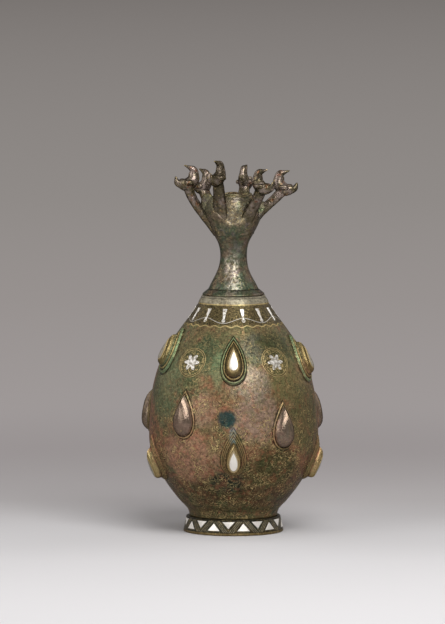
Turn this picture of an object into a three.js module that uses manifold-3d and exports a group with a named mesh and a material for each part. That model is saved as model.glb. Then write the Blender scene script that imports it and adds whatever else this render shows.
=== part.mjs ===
// A cast bronze rose-water sprinkler bottle with silver inlay, in millimetres, +Z up.
// The origin is on the axis, in the plane that the foot stands on, and the front faces -Y.
// A pear-shaped body with three rows of drop-shaped bosses stands on a flared foot ring. A waisted
// neck, soldered over the body's spigot, opens into a cup with a pierced strainer in its mouth.
// Six arms leave the cup, and each carries a small bird that looks out over its raised tail.
import * as THREE from "three";
import { mergeVertices } from "three/addons/utils/BufferGeometryUtils.js";
import Module from "manifold-3d";

const wasm = await Module();
wasm.setup();

// Heights are measured from the underside of the piece they belong to. Angles are in degrees, from
// the front round towards +X.

// Joints between pieces
const seatGap = 0.3; // left between two pieces that are soldered, brazed or hammered together

// Foot ring
const footRadius = 31.2; // at the standing plane
const footTopRadius = 29.2;
const footHeight = 9.9;
const footRimWidth = 3.4; // of the rim that it stands on
const footChamfer = 0.5;
const shelfWidth = 2; // of the inner shelf that carries the base plate
const shelfThickness = 1.6;

// Base plate, which closes the underside of the body
const basePlateThickness = 1.6;
const basePlateLap = 4; // how far it reaches past the opening that it closes

// Body
const bodyBaseRadius = 27.4; // where the body meets the foot
const skirtRadius = 32.2; // where the concave skirt above the foot runs into the belly
const skirtRise = 7.9;
const bellyRadius = 52.7;
const bellyRise = 49.7;
const shoulderRadius = 20;
const shoulderRise = 135.9;
const collarRadius = 19.5; // of the flat seat that the neck stands on
const collarRise = 137.4;
const bodyWall = 2.4;
const fillRadius = 20; // of the opening in the underside

// How far each end of the belly's curves keeps its direction, as (outward, up) from that end
const skirtHandle = new THREE.Vector2(12, 13.4);
const bellyLowerHandle = 12.4;
const bellyUpperHandle = 54.6;
const shoulderHandle = new THREE.Vector2(13.4, 24.8);

// Spigot on the body, inside the foot of the neck
const spigotRadius = 12;
const spigotBore = 9.4;
const spigotHeight = 4;

// Neck and cup
const flangeRadius = 19.2;
const flangeEdge = 0.8; // thickness of the flange's upright edge
const flangeRise = 3.7; // to where the bevelled flange meets the neck
const neckFootRadius = 15.5;
const waistRadius = 8.3;
const waistRise = 24.6;
const cupRadius = 15;
const cupRise = 48.6;
const rimRadius = 12;
const rimRise = 63.2;
const beadWidth = 0.3; // how far the bead at the rim stands out
const beadHeight = 1.2;
const neckWall = 2.2;
const rimWall = 1.7;

// Handles of the neck's curves, as for the belly
const neckFootHandle = new THREE.Vector2(-3, 7);
const waistLowerHandle = 10.4;
const waistUpperHandle = 10;
const cupHandle = new THREE.Vector2(-1.2, -11.6);
const cupBulge = new THREE.Vector2(0.9, 9); // to the corner that rounds the cup in to its rim

// Strainer
const strainerThickness = 1.4;
const strainerDepth = 3.2; // of its ledge under the rim
const strainerLedge = 1.3; // width of that ledge
const domeRadius = 5.6;
const domeRise = 2.2;
const strainerHoleRadius = 0.9;
const domeHoles = 6;
const domeHoleTilt = 48; // from the axis
const plateHoles = 8;
const plateHoleRing = 7.5; // radius of their circle

// Bosses, in three rows of five
const bossHalfWidth = 8;
const bossHalfLength = { upper: 16, middle: 15, lower: 15 };
const bossHeight = 6;
const bossSunk = 0.9; // how deep a boss is rooted in the wall
const bossCrest = -0.34; // where its crest lies, as a share of the half length
// Each boss: its angle from the front, and the height of its middle above the underside
const bosses = {
  upper: [
    [0, 100.4],
    [72, 99.3],
    [144, 101.3],
    [216, 101.3],
    [292, 104.3],
  ],
  middle: [
    [36, 59.9],
    [108, 64.9],
    [180, 64.3],
    [258, 65.3],
    [324, 66.7],
  ],
  lower: [
    [0, 43.9],
    [81, 36.6],
    [144, 38.6],
    [216, 38.6],
    [288, 37],
  ],
};
// Each step of the boss's relief: share of the outline, then share of the height
const bossRelief = [
  [0.94, 0.2],
  [0.78, 0.36],
  [0.67, 0.62],
  [0.4, 0.92],
];

// Silver inlay
const inlayThickness = 0.8;
const inlayProud = 0.12; // how far the silver stands above the bronze round it
const dropShare = 0.34; // width of a boss's silver drop, as a share of the boss
// A drop inside a boss's outline keeps more or less of its length than of its width: its width's
// share to these powers is its length's share above the crest and below it.
const dropPowers = {
  upper: [0.65, 1.1],
  middle: [1, 1],
  lower: [0.85, 0.6],
};

// Rosettes in the roundels, between the upper bosses
const rosettes = 5;
const rosetteRise = 98.5;
const rosetteRadius = 5.6;
const rosetteNotch = 3; // radius between two petals
const rosettePetals = 6;

// Darts that hang from the top of the shoulder band
const darts = 14;
const dartRise = 130.3; // of their heads
const dartLength = 9.2;
const dartHeadWidth = 2.6;
const dartTipWidth = 0.7;

// Triangles on the foot ring: width, height of the base, and height of the tip
const trianglePairs = 10;
const triangleTurn = 12; // from the front to the middle of the first one
const upTriangle = { width: 8.1, base: 3, tip: 7.7 };
const downTriangle = { width: 7.6, base: 8.6, tip: 4.2 };

// Arms, which leave the neck at a root and end at a perch under the bird
const armHalfWidth = 3.2;
const armHalfDepth = 3.2;
const armRootSpread = 1.75; // how much wider an arm is at its root
const armRootRadius = 9.6;
const armRootRise = 38.2; // above the underside of the neck
const armLowerHandle = new THREE.Vector2(3.8, 11.8);
const armUpperHandle = new THREE.Vector2(-6.3, -10.2);
const armReach = 29; // from the axis to a perch
const birdLength = 10.4; // from the breast to the tip of the tail

// Each bird: where its arm leaves the neck and how far the arm bows out, where it perches round the
// axis, how far out, how high above the rim, which way its tail points, and how far it leans back.
// The bow and the reach are shares of the arm's reach, and the perch is one of the bird's length.
const birds = [
  { root: -92, bow: 0.17, angle: -82, reach: 0.98, perch: 0.5, facing: -80, lean: 8 },
  { root: -40, bow: 0.03, angle: -22, reach: 0.92, perch: 0.9, facing: -38, lean: 4 },
  { root: 38, bow: 0, angle: 36, reach: 1.02, perch: 0.4, facing: 60, lean: 0 },
  { root: 90, bow: -0.06, angle: 90, reach: 1.07, perch: 0.2, facing: 90, lean: 0 },
  { root: 154, bow: 0.03, angle: 165, reach: 0.97, perch: 0.35, facing: 160, lean: 2 },
  { root: 220, bow: 0.05, angle: 221, reach: 1, perch: 0.15, facing: 226, lean: 4 },
];
// A bird's sections from tail to beak, in shares of its length: outward and up from its perch, half
// width, half depth
const birdSections = [
  [0.82, 0.4, 0.15, 0.04],
  [0.68, 0.09, 0.25, 0.2],
  [0.42, 0.02, 0.34, 0.32],
  [0.06, 0, 0.39, 0.39],
  [-0.26, 0.32, 0.33, 0.37],
  [-0.25, 0.69, 0.23, 0.31],
  [-0.16, 0.93, 0.21, 0.24],
  [0.09, 1.04, 0.14, 0.12],
  [0.4, 1.13, 0.03, 0.03],
];
// And its wings, from tip to tip: sideways from the perch, half chord, half thickness
const wingRise = 0.14;
const wingSections = [
  [-0.54, 0.12, 0.05],
  [-0.42, 0.26, 0.1],
  [0.42, 0.26, 0.1],
  [0.54, 0.12, 0.05],
];

// Facets
const bodySegments = 42;
const bodyBoreSegments = 24;
const footSegments = 40;
const neckSegments = 24;
const bossSteps = 12; // points round a boss
const dropSteps = 10;
const rosetteStepsPerPetal = 3;
const birdSteps = 8; // points round a section of a bird or an arm
const armSections = 5;
const holeSegments = 6;

const degrees = Math.PI / 180;
const fullTurn = 2 * Math.PI;
const bronze = { color: 0x5d5138, roughness: 0.42, metalness: 0.85 };
const darkBronze = { color: 0x4e4636, roughness: 0.45, metalness: 0.85 };
const silver = { color: 0xd8d4ca, roughness: 0.28, metalness: 0.95 };

const bottle = new THREE.Group();

// Adds one named piece to the bottle.
function piece(name, solid, finish) {
  const mesh = new THREE.Mesh(geometryOf(solid), new THREE.MeshStandardMaterial(finish));
  mesh.name = name;
  bottle.add(mesh);
}

// Numbers the pieces of a set from one.
function numbered(name, i, digits = 1) {
  return `${name}_${String(i + 1).padStart(digits, "0")}`;
}

// Solids and points

function solidOf(geometry) {
  const bare = geometry.clone();
  bare.deleteAttribute("normal");
  bare.deleteAttribute("uv");
  const merged = mergeVertices(bare, 1e-4);
  const triVerts = new Uint32Array(merged.index.array);
  const vertProperties = new Float32Array(merged.attributes.position.array);
  return new wasm.Manifold(new wasm.Mesh({ numProp: 3, vertProperties, triVerts }));
}

function geometryOf(solid) {
  const mesh = solid.getMesh();
  const geometry = new THREE.BufferGeometry();
  geometry.setAttribute("position", new THREE.BufferAttribute(mesh.vertProperties, 3));
  geometry.setIndex(new THREE.BufferAttribute(mesh.triVerts, 1));
  geometry.computeVertexNormals();
  return geometry;
}

const at = (radius, height) => new THREE.Vector2(radius, height);

// A point at an angle, in radians, round the axis
function around(angle, radius, height) {
  return new THREE.Vector3(Math.sin(angle) * radius, -Math.cos(angle) * radius, height);
}

// Turns an outline of (radius, height) points, anticlockwise, about the Z axis.
function revolve(outline, segments) {
  const onAxis = outline[0].x === 0;
  const profile = onAxis ? outline : [...outline, outline[0]];
  return solidOf(new THREE.LatheGeometry(profile, segments).rotateX(Math.PI / 2));
}

// Covers rings of equally many points with a skin, and closes each end with a fan to a middle point.
function skin(firstMiddle, rings, lastMiddle) {
  const count = rings[0].length;
  const points = [firstMiddle, ...rings.flat(), lastMiddle];
  const last = points.length - 1;
  const faces = [];
  for (let i = 0; i < count; i++) {
    const next = (i + 1) % count;
    faces.push(0, 1 + next, 1 + i);
    for (let ring = 0; ring < rings.length - 1; ring++) {
      const low = 1 + ring * count;
      const high = low + count;
      faces.push(low + i, low + next, high + next);
      faces.push(low + i, high + next, high + i);
    }
    faces.push(last, last - count + i, last - count + next);
  }
  const geometry = new THREE.BufferGeometry().setFromPoints(points);
  geometry.setIndex(faces);
  return solidOf(geometry);
}

// Moves each point of an open line sideways, to the left of the line's own direction.
function inset(line, distance) {
  return line.map((point, i) => {
    const before = line[Math.max(i - 1, 0)];
    const after = line[Math.min(i + 1, line.length - 1)];
    const along = after.clone().sub(before).normalize();
    return at(point.x - along.y * distance, point.y + along.x * distance);
  });
}

// A line that is read by the distance along it.
class MeasuredLine {
  constructor(points) {
    this.points = points;
    this.distances = [0];
    for (let i = 1; i < points.length; i++) {
      this.distances.push(this.distances[i - 1] + points[i].distanceTo(points[i - 1]));
    }
  }

  // Index of the first point that passes a test, kept to one that ends a stretch
  endOfStretch(passes) {
    const found = this.points.findIndex(passes);
    return found < 0 ? this.points.length - 1 : Math.max(found, 1);
  }

  at(distance) {
    const i = this.endOfStretch((_, k) => this.distances[k] >= distance);
    const span = this.distances[i] - this.distances[i - 1];
    const share = (distance - this.distances[i - 1]) / span;
    const point = this.points[i - 1].clone().lerp(this.points[i], share);
    const along = this.points[i].clone().sub(this.points[i - 1]).normalize();
    return { point, normal: at(along.y, -along.x) };
  }

  distanceAtHeight(height) {
    const i = this.endOfStretch((p) => p.y >= height);
    const share = (height - this.points[i - 1].y) / (this.points[i].y - this.points[i - 1].y);
    return this.distances[i - 1] + share * (this.distances[i] - this.distances[i - 1]);
  }
}

// A patch of a turned surface: a place on it lies across and up from its middle, and out from it.
function patch(surface, angle, middleHeight) {
  const start = surface.distanceAtHeight(middleHeight);
  return (across, up, out) => {
    const { point, normal } = surface.at(start + up);
    const turned = angle + across / point.x;
    return around(turned, point.x + normal.x * out, point.y + normal.y * out);
  };
}

// A thin plate let into a surface: its outline is a ring of (across, up) pairs.
function plate(place, outline, middle, bottom, top) {
  const ring = (out) => outline.map(([across, up]) => place(across, up, out));
  return skin(place(...middle, bottom), [ring(bottom), ring(top)], place(...middle, top));
}

const inlayBottom = inlayProud - inlayThickness;
const pocketFloor = inlayBottom - seatGap;
const pocketTop = inlayThickness + bossHeight / 2; // clear of the surface, however it curves

// Cuts a pocket for a plate of silver, and adds the plate as a piece of its own.
function inlay(base, name, place, outlineFor, middle) {
  piece(name, plate(place, outlineFor(0), middle, inlayBottom, inlayProud), silver);
  return base.subtract(plate(place, outlineFor(seatGap), middle, pocketFloor, pocketTop));
}

// Body

const bodyBottom = footHeight + seatGap;
const seatHeight = bodyBottom + collarRise;

// The body's outline from the foot up to the shoulder, with so many stretches on each curve
function bodyLine(skirtStretches, lowerStretches, upperStretches) {
  const foot = at(bodyBaseRadius, bodyBottom);
  const skirt = at(skirtRadius, bodyBottom + skirtRise);
  const belly = at(bellyRadius, bodyBottom + bellyRise);
  const shoulder = at(shoulderRadius, bodyBottom + shoulderRise);
  const skirtCorner = at(bodyBaseRadius, (foot.y + skirt.y) / 2);
  const skirtCurve = new THREE.QuadraticBezierCurve(foot, skirtCorner, skirt);
  const lowerCurve = new THREE.CubicBezierCurve(
    skirt,
    skirt.clone().add(skirtHandle),
    at(belly.x, belly.y - bellyLowerHandle),
    belly,
  );
  const upperCurve = new THREE.CubicBezierCurve(
    belly,
    at(belly.x, belly.y + bellyUpperHandle),
    at(shoulder.x + shoulderHandle.x, shoulder.y - shoulderHandle.y),
    shoulder,
  );
  return [
    ...skirtCurve.getPoints(skirtStretches),
    ...lowerCurve.getPoints(lowerStretches).slice(1),
    ...upperCurve.getPoints(upperStretches).slice(1),
  ];
}

function bodyOutside() {
  return revolve(
    [
      at(0, bodyBottom),
      ...bodyLine(2, 5, 8),
      at(collarRadius, seatHeight),
      at(spigotRadius, seatHeight),
      at(spigotRadius, seatHeight + spigotHeight),
      at(0, seatHeight + spigotHeight),
    ],
    bodySegments,
  );
}

// The hollow, from below the underside to above the spigot
function bodyInside() {
  const floor = bodyBottom + bodyWall;
  const ceiling = seatHeight - bodyWall;
  const wall = inset(bodyLine(1, 3, 5), bodyWall);
  return revolve(
    [
      at(0, bodyBottom - bodyWall),
      at(fillRadius, bodyBottom - bodyWall),
      at(fillRadius, floor),
      at(bodyBaseRadius - bodyWall, floor),
      ...wall.filter((p) => p.y > floor + bodyWall && p.y < ceiling - bodyWall),
      at(collarRadius - bodyWall, ceiling),
      at(spigotBore, ceiling),
      at(spigotBore, seatHeight + spigotHeight + bodyWall),
      at(0, seatHeight + spigotHeight + bodyWall),
    ],
    bodyBoreSegments,
  );
}

let body = bodyOutside().subtract(bodyInside());
const bodySurface = new MeasuredLine(bodyLine(20, 40, 80));

// Bosses: a drop's outline is pointed at the top and round below.
const crestUp = (row) => bossHalfLength[row] * bossCrest;
const dropWidest = 0.77; // the widest value of sin(a) sin(a / 2)

function dropRing(row, share, steps, grow = 0) {
  const halfWidth = bossHalfWidth * share + grow;
  const [above, below] = dropPowers[row];
  return Array.from({ length: steps }, (_, i) => {
    const a = (i / steps) * fullTurn;
    const across = (-halfWidth / dropWidest) * Math.sin(a) * Math.sin(a / 2);
    const reach = bossHalfLength[row] * Math.cos(a) - crestUp(row);
    const stretch = share ** (reach > 0 ? above : below) + grow / bossHalfLength[row];
    return [across, crestUp(row) + reach * stretch];
  });
}

function bossSolid(row, place) {
  const ring = (share, out) =>
    dropRing(row, share, bossSteps).map(([across, up]) => place(across, up, out));
  const rings = bossRelief.map(([share, rise]) => ring(share, rise * bossHeight));
  const middle = (out) => place(0, crestUp(row), out);
  return skin(middle(-bossSunk), [ring(1, -bossSunk), ...rings], middle(bossHeight));
}

// Height of a boss above the body at a share of its outline
function bossHeightAt(share) {
  const steps = [[1, 0], ...bossRelief, [0, 1]];
  const i = steps.findIndex(([s]) => s <= share);
  const [outer, low] = steps[i - 1];
  const [inner, high] = steps[i];
  return bossHeight * (low + ((high - low) * (outer - share)) / (outer - inner));
}

// A boss's silver drop, or with a margin round it the pocket that takes it
function silverDrop(row, place, grow, bottom, top) {
  const rim = bossHeightAt(dropShare);
  const ring = (out) =>
    dropRing(row, dropShare, dropSteps, grow).map(([across, up]) => place(across, up, rim + out));
  const middle = (out) => place(0, crestUp(row), bossHeight + out);
  return skin(middle(bottom), [ring(bottom), ring(top)], middle(top));
}

for (const [row, places] of Object.entries(bosses)) {
  places.forEach(([angle, rise], i) => {
    const place = patch(bodySurface, angle * degrees, bodyBottom + rise);
    body = body.add(bossSolid(row, place));
    if (row === "middle") return;
    body = body.subtract(silverDrop(row, place, seatGap, pocketFloor, pocketTop));
    const drop = silverDrop(row, place, 0, inlayBottom, inlayProud);
    piece(numbered(`boss_drop_${row}`, i), drop, silver);
  });
}

// Rosettes
function rosetteRing(grow) {
  const steps = rosettePetals * rosetteStepsPerPetal;
  const middle = (rosetteRadius + rosetteNotch) / 2;
  const depth = (rosetteRadius - rosetteNotch) / 2;
  return Array.from({ length: steps }, (_, i) => {
    const a = (i / steps) * fullTurn;
    const radius = middle + depth * Math.cos(rosettePetals * a) + grow;
    return [Math.cos(a) * radius, Math.sin(a) * radius];
  });
}

for (let i = 0; i < rosettes; i++) {
  const place = patch(bodySurface, ((i + 0.5) * fullTurn) / rosettes, bodyBottom + rosetteRise);
  body = inlay(body, numbered("roundel_rosette", i), place, rosetteRing, [0, 0]);
}

// Darts
function dartRing(grow) {
  const head = dartHeadWidth / 2 + grow;
  const tip = dartTipWidth / 2 + grow;
  return [
    [-head, grow],
    [-tip, -dartLength - grow],
    [tip, -dartLength - grow],
    [head, grow],
  ];
}

for (let i = 0; i < darts; i++) {
  const place = patch(bodySurface, ((i + 0.5) * fullTurn) / darts, bodyBottom + dartRise);
  body = inlay(body, numbered("shoulder_dart", i, 2), place, dartRing, [0, -dartLength / 2]);
}

piece("body_shell", body, bronze);

// Base plate, which lies on the foot's shelf
const basePlateRadius = fillRadius + basePlateLap;
const basePlateTop = bodyBottom - seatGap;
const basePlateBottom = basePlateTop - basePlateThickness;
const basePlate = revolve(
  [
    at(0, basePlateBottom),
    at(basePlateRadius, basePlateBottom),
    at(basePlateRadius, basePlateTop),
    at(0, basePlateTop),
  ],
  bodyBoreSegments,
);
piece("base_plate", basePlate, darkBronze);

// Foot ring
const shelfHeight = basePlateBottom - seatGap;
let foot = revolve(
  [
    at(footRadius - footRimWidth, 0),
    at(footRadius - footChamfer, 0),
    at(footRadius, footChamfer),
    at(footTopRadius, footHeight - footChamfer),
    at(footTopRadius - footChamfer, footHeight),
    at(basePlateRadius + seatGap, footHeight),
    at(basePlateRadius + seatGap, shelfHeight),
    at(basePlateRadius - shelfWidth, shelfHeight),
    at(basePlateRadius - shelfWidth, shelfHeight - shelfThickness),
    at(footTopRadius - footRimWidth, shelfHeight - 2 * shelfThickness),
  ],
  footSegments,
);
const footSurface = new MeasuredLine([at(footRadius, 0), at(footTopRadius, footHeight)]);

// A triangle's corners, either way up, from the middle of its base
function triangleRing({ width, base, tip }, grow) {
  const height = tip - base;
  const scale = 1 + (3 * grow) / Math.min(width / 2, Math.abs(height));
  const ring = [
    [-width / 2, 0],
    [width / 2, 0],
    [0, height],
  ].map(([across, up]) => [across * scale, height / 3 + (up - height / 3) * scale]);
  return height > 0 ? ring : ring.reverse();
}

for (let i = 0; i < trianglePairs; i++) {
  for (const [kind, size, turned] of [
    ["up", upTriangle, 0],
    ["down", downTriangle, 0.5],
  ]) {
    const angle = triangleTurn * degrees + ((i + turned) * fullTurn) / trianglePairs;
    const place = patch(footSurface, angle, size.base);
    const middle = [0, (size.tip - size.base) / 3];
    const name = numbered(`foot_triangle_${kind}`, i, 2);
    foot = inlay(foot, name, place, (grow) => triangleRing(size, grow), middle);
  }
}

piece("foot_ring", foot, bronze);

// Neck, from its flange to the rim of the cup

const neckBottom = seatHeight + seatGap;
const cupHeight = neckBottom + cupRise;
const rimHeight = neckBottom + rimRise;

function neckLine(stretches) {
  const foot = at(neckFootRadius, neckBottom + flangeRise);
  const waist = at(waistRadius, neckBottom + waistRise);
  const cup = at(cupRadius, cupHeight);
  const lowerCurve = new THREE.CubicBezierCurve(
    foot,
    foot.clone().add(neckFootHandle),
    at(waist.x, waist.y - waistLowerHandle),
    waist,
  );
  const upperCurve = new THREE.CubicBezierCurve(
    waist,
    at(waist.x, waist.y + waistUpperHandle),
    cup.clone().add(cupHandle),
    cup,
  );
  const rimFoot = at(rimRadius, rimHeight - beadHeight);
  const cupCurve = new THREE.QuadraticBezierCurve(cup, cup.clone().add(cupBulge), rimFoot);
  return [
    at(flangeRadius, neckBottom + flangeEdge),
    ...lowerCurve.getPoints(stretches),
    ...upperCurve.getPoints(stretches).slice(1),
    ...cupCurve.getPoints(stretches - 2).slice(1),
  ];
}

function neckSolid() {
  const bore = rimRadius - rimWall;
  const ledge = bore - strainerLedge;
  const ledgeHeight = rimHeight - strainerDepth;
  const spigotTop = seatHeight + spigotHeight + seatGap;
  const passage = inset(neckLine(4), neckWall)
    .filter((p) => p.y > spigotTop + neckWall && p.y < ledgeHeight - neckWall)
    .reverse();
  const outline = [
    at(spigotRadius + seatGap, neckBottom),
    at(flangeRadius, neckBottom),
    ...neckLine(5),
    at(rimRadius + beadWidth, rimHeight - beadHeight / 2),
    at(rimRadius, rimHeight),
    at(bore, rimHeight),
    at(bore, ledgeHeight),
    at(ledge, ledgeHeight),
    ...passage,
    at(spigotBore, spigotTop),
    at(spigotRadius + seatGap, spigotTop),
  ];
  return revolve(outline, neckSegments);
}

piece("neck", neckSolid(), bronze);

// Strainer: a flat rim round a dome, pierced all over

// A line of points over a spherical cap, from its edge to the axis
function capLine(radius, base, rise) {
  const sphere = (radius * radius + rise * rise) / (2 * rise);
  const edgeAngle = Math.asin(radius / sphere);
  return [1, 2 / 3, 1 / 3, 0].map((share) => {
    const a = edgeAngle * share;
    return at(sphere * Math.sin(a), base + rise - sphere * (1 - Math.cos(a)));
  });
}

function strainerSolid() {
  const low = rimHeight - strainerDepth + seatGap;
  const high = low + strainerThickness;
  const edge = rimRadius - rimWall - seatGap;
  const under = capLine(domeRadius - strainerThickness, low, domeRise).reverse();
  const over = capLine(domeRadius, high, domeRise);
  let made = revolve([...under, at(edge, low), at(edge, high), ...over], neckSegments);
  const length = 4 * domeRise;
  const drill = new THREE.CylinderGeometry(
    strainerHoleRadius,
    strainerHoleRadius,
    length,
    holeSegments,
  ).rotateX(Math.PI / 2);
  const holes = [drill.clone().translate(0, 0, high)];
  for (let i = 0; i < plateHoles; i++) {
    const place = around((i / plateHoles) * fullTurn, plateHoleRing, high);
    holes.push(drill.clone().translate(place.x, place.y, place.z));
  }
  for (let i = 0; i < domeHoles; i++) {
    const slanted = drill.clone().translate(0, 0, length / 2);
    slanted.rotateX(domeHoleTilt * degrees).rotateZ(((i + 0.5) / domeHoles) * fullTurn);
    holes.push(slanted.translate(0, 0, low));
  }
  for (const hole of holes) made = made.subtract(solidOf(hole));
  return made;
}

piece("strainer", strainerSolid(), darkBronze);

// Birds and their arms

// Sweeps ellipses of changing half width and half depth along a line of centres.
function sweep(centres, sizes, sideways) {
  const rings = centres.map((centre, i) => {
    const before = centres[Math.max(i - 1, 0)];
    const after = centres[Math.min(i + 1, centres.length - 1)];
    const outward = after.clone().sub(before).cross(sideways).normalize();
    const [halfWidth, halfDepth] = sizes[i];
    return Array.from({ length: birdSteps }, (_, step) => {
      const a = (step / birdSteps) * fullTurn;
      const point = centre.clone().addScaledVector(sideways, halfWidth * Math.cos(a));
      return point.addScaledVector(outward, halfDepth * Math.sin(a));
    });
  });
  return skin(centres[0], rings, centres[centres.length - 1]);
}

function armSolid({ root, bow, angle, reach, perch }) {
  const rootHeight = neckBottom + armRootRise;
  const perchHeight = rimHeight + perch * birdLength;
  const lowerRadius = armRootRadius + armLowerHandle.x + bow * armReach;
  const upperRadius = (reach + bow) * armReach + armUpperHandle.x;
  const curve = new THREE.CubicBezierCurve3(
    around(root * degrees, armRootRadius, rootHeight),
    around(root * degrees, lowerRadius, rootHeight + armLowerHandle.y),
    around(angle * degrees, upperRadius, perchHeight + armUpperHandle.y),
    around(angle * degrees, reach * armReach, perchHeight),
  );
  const sideways = around(((root + angle) / 2 + 90) * degrees, 1, 0);
  const sizes = Array.from({ length: armSections }, (_, i) => {
    const spread = 1 + (armRootSpread - 1) * (1 - i / (armSections - 1));
    return [armHalfWidth * spread, armHalfDepth];
  });
  return sweep(curve.getPoints(armSections - 1), sizes, sideways);
}

function birdSolid({ angle, reach, perch, facing, lean }) {
  const feet = around(angle * degrees, reach * armReach, rimHeight + perch * birdLength);
  const outward = around(facing * degrees, 1, 0);
  const sideways = around((facing + 90) * degrees, 1, 0);
  // A point outward and up from the perch, in shares of the bird's length, leaned back about it
  const place = (out, up) => {
    const leaned = at(out, up).multiplyScalar(birdLength).rotateAround(at(0, 0), lean * degrees);
    return feet.clone().addScaledVector(outward, leaned.x).setZ(feet.z + leaned.y);
  };
  const centres = birdSections.map(([out, up]) => place(out, up));
  const sizes = birdSections.map((section) => section.slice(2).map((share) => share * birdLength));
  const wingCentres = wingSections.map(([side]) =>
    place(0, wingRise).addScaledVector(sideways, side * birdLength),
  );
  const wingSizes = wingSections.map((section) =>
    section.slice(1).map((share) => share * birdLength),
  );
  return sweep(centres, sizes, sideways).add(sweep(wingCentres, wingSizes, outward));
}

// The space that arms stay out of: the neck and cup, filled, with a gap round them
const neckFilled = revolve(
  [
    at(0, neckBottom),
    ...inset(neckLine(5), -seatGap),
    at(rimRadius + beadWidth + seatGap, rimHeight - beadHeight),
    at(rimRadius + beadWidth + seatGap, rimHeight + seatGap),
    at(0, rimHeight + seatGap),
  ],
  neckSegments,
);

birds.forEach((bird, i) => {
  const finial = armSolid(bird).add(birdSolid(bird)).subtract(neckFilled);
  piece(numbered("bird_finial", i), finial, darkBronze);
});

export default bottle;
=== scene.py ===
"""The looks of a cast bronze rose-water sprinkler bottle with silver inlay.

Lengths below are in millimetres unless a name says otherwise, and Blender's are in metres.
Angles run from the front (-Y) round towards +X, in degrees.
"""

import math

import bpy
import numpy as np
from mathutils import Matrix, Vector, noise


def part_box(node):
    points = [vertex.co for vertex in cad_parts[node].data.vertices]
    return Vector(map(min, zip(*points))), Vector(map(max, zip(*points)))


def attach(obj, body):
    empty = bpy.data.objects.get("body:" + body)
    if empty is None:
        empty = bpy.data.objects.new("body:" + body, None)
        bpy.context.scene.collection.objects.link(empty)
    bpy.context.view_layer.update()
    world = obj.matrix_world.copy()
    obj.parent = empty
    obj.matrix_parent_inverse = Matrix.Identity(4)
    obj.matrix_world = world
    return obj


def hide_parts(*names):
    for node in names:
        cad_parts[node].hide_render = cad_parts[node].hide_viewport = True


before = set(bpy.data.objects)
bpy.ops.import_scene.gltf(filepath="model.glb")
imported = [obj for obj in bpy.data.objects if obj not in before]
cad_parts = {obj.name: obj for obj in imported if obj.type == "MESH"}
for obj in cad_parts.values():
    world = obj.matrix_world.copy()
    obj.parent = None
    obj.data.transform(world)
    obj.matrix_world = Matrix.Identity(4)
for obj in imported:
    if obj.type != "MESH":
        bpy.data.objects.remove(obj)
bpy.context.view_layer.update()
mm = 0.001


def heights(node):
    """Lowest and highest point of a CAD node, in millimetres."""
    low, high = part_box(node)
    return low.z / mm, high.z / mm


# Driving sizes, as the CAD model has them
foot_radius = 31.2
foot_top_radius = 29.2
foot_rim_width = 3.4
foot_fillet = 0.6
foot_lip, foot_lean = 0.9, 0.1
base_plate_radius = 24
shelf_width = 2
shelf_thickness = 1.6
gap = 0.3  # at a soldered or brazed joint

body_base_radius = 27.4
skirt_radius, skirt_rise = 32.2, 7.9
belly_radius, belly_rise = 52.7, 49.7
shoulder_radius, shoulder_rise = 20, 135.9
collar_radius = 19.5
skirt_handle = (12, 13.4)
belly_lower_handle, belly_upper_handle = 12.4, 54.6
shoulder_handle = (13.4, 24.8)
body_wall = 2.4
fill_radius = 20
spigot_radius, spigot_bore, spigot_height = 12, 9.4, 4

flange_radius, flange_edge, flange_rise, flange_width = 19.2, 0.8, 3.7, 4.2
neck_foot_radius = 15.5
waist_radius, waist_rise = 8.3, 24.6
cup_radius, cup_rise = 15, 48.6
rim_radius = 12
bead_width, bead_height = 0.3, 1.2
neck_wall, rim_wall = 2.2, 1.7
neck_foot_handle = (-3, 7)
waist_lower_handle, waist_upper_handle = 10.4, 10
cup_handle = (-1.2, -11.6)
cup_bulge = (0.9, 9)

strainer_thickness, strainer_depth, strainer_ledge = 1.4, 3.2, 1.3
dome_radius, dome_rise = 5.6, 2.2
strainer_hole_radius, strainer_bevel = 0.9, 0.2
dome_holes, dome_hole_tilt = 6, 48
plate_holes, plate_hole_ring = 8, 7.5

boss_half_width, boss_height, boss_sunk = 8, 5.94, 0.9
boss_half_length = {"upper": 16, "middle": 15, "lower": 15}
boss_crest = -0.34
# Each boss: its angle, and the height of its middle above the body's underside
bosses = {
    "upper": [(0, 100.4), (72, 99.3), (144, 101.3), (216, 101.3), (292, 104.3)],
    "middle": [(36, 59.9), (108, 64.9), (180, 64.3), (258, 65.3), (324, 66.7)],
    "lower": [(0, 43.9), (81, 36.6), (144, 38.6), (216, 38.6), (288, 37)],
}
# Relief of a boss: share of its width, then share of its height, from the edge to the crest
boss_relief = {
    "upper": [
        (1.14, -0.06), (1.04, 0), (0.97, 0.12), (0.92, 0.27), (0.87, 0.28), (0.82, 0.16), (0.78, 0.18),
        (0.73, 0.36), (0.69, 0.37), (0.64, 0.3), (0.6, 0.36), (0.55, 0.62), (0.48, 0.8), (0.36, 0.91),
        (0.2, 0.97), (0, 1),
    ],
    "middle": [
        (1.14, -0.06), (1.04, 0), (0.98, 0.12), (0.93, 0.18), (0.89, 0.12), (0.85, 0.2), (0.76, 0.46),
        (0.64, 0.68), (0.48, 0.86), (0.28, 0.96), (0, 1),
    ],
    "lower": [
        (1.14, -0.06), (1.04, 0), (0.96, 0.13), (0.92, 0.19), (0.87, 0.12), (0.8, 0.26), (0.74, 0.2),
        (0.68, 0.34), (0.63, 0.3), (0.58, 0.34), (0.53, 0.6), (0.46, 0.8), (0.36, 0.92), (0.2, 0.97),
        (0, 1),
    ],
}
drop_share = 0.34  # width of a boss's silver drop, as a share of the boss
# What a share of a boss's width makes of its length: the share's powers above and below the crest
drop_powers = {"upper": (0.65, 1.1), "middle": (1, 1), "lower": (0.85, 0.6)}

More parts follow.
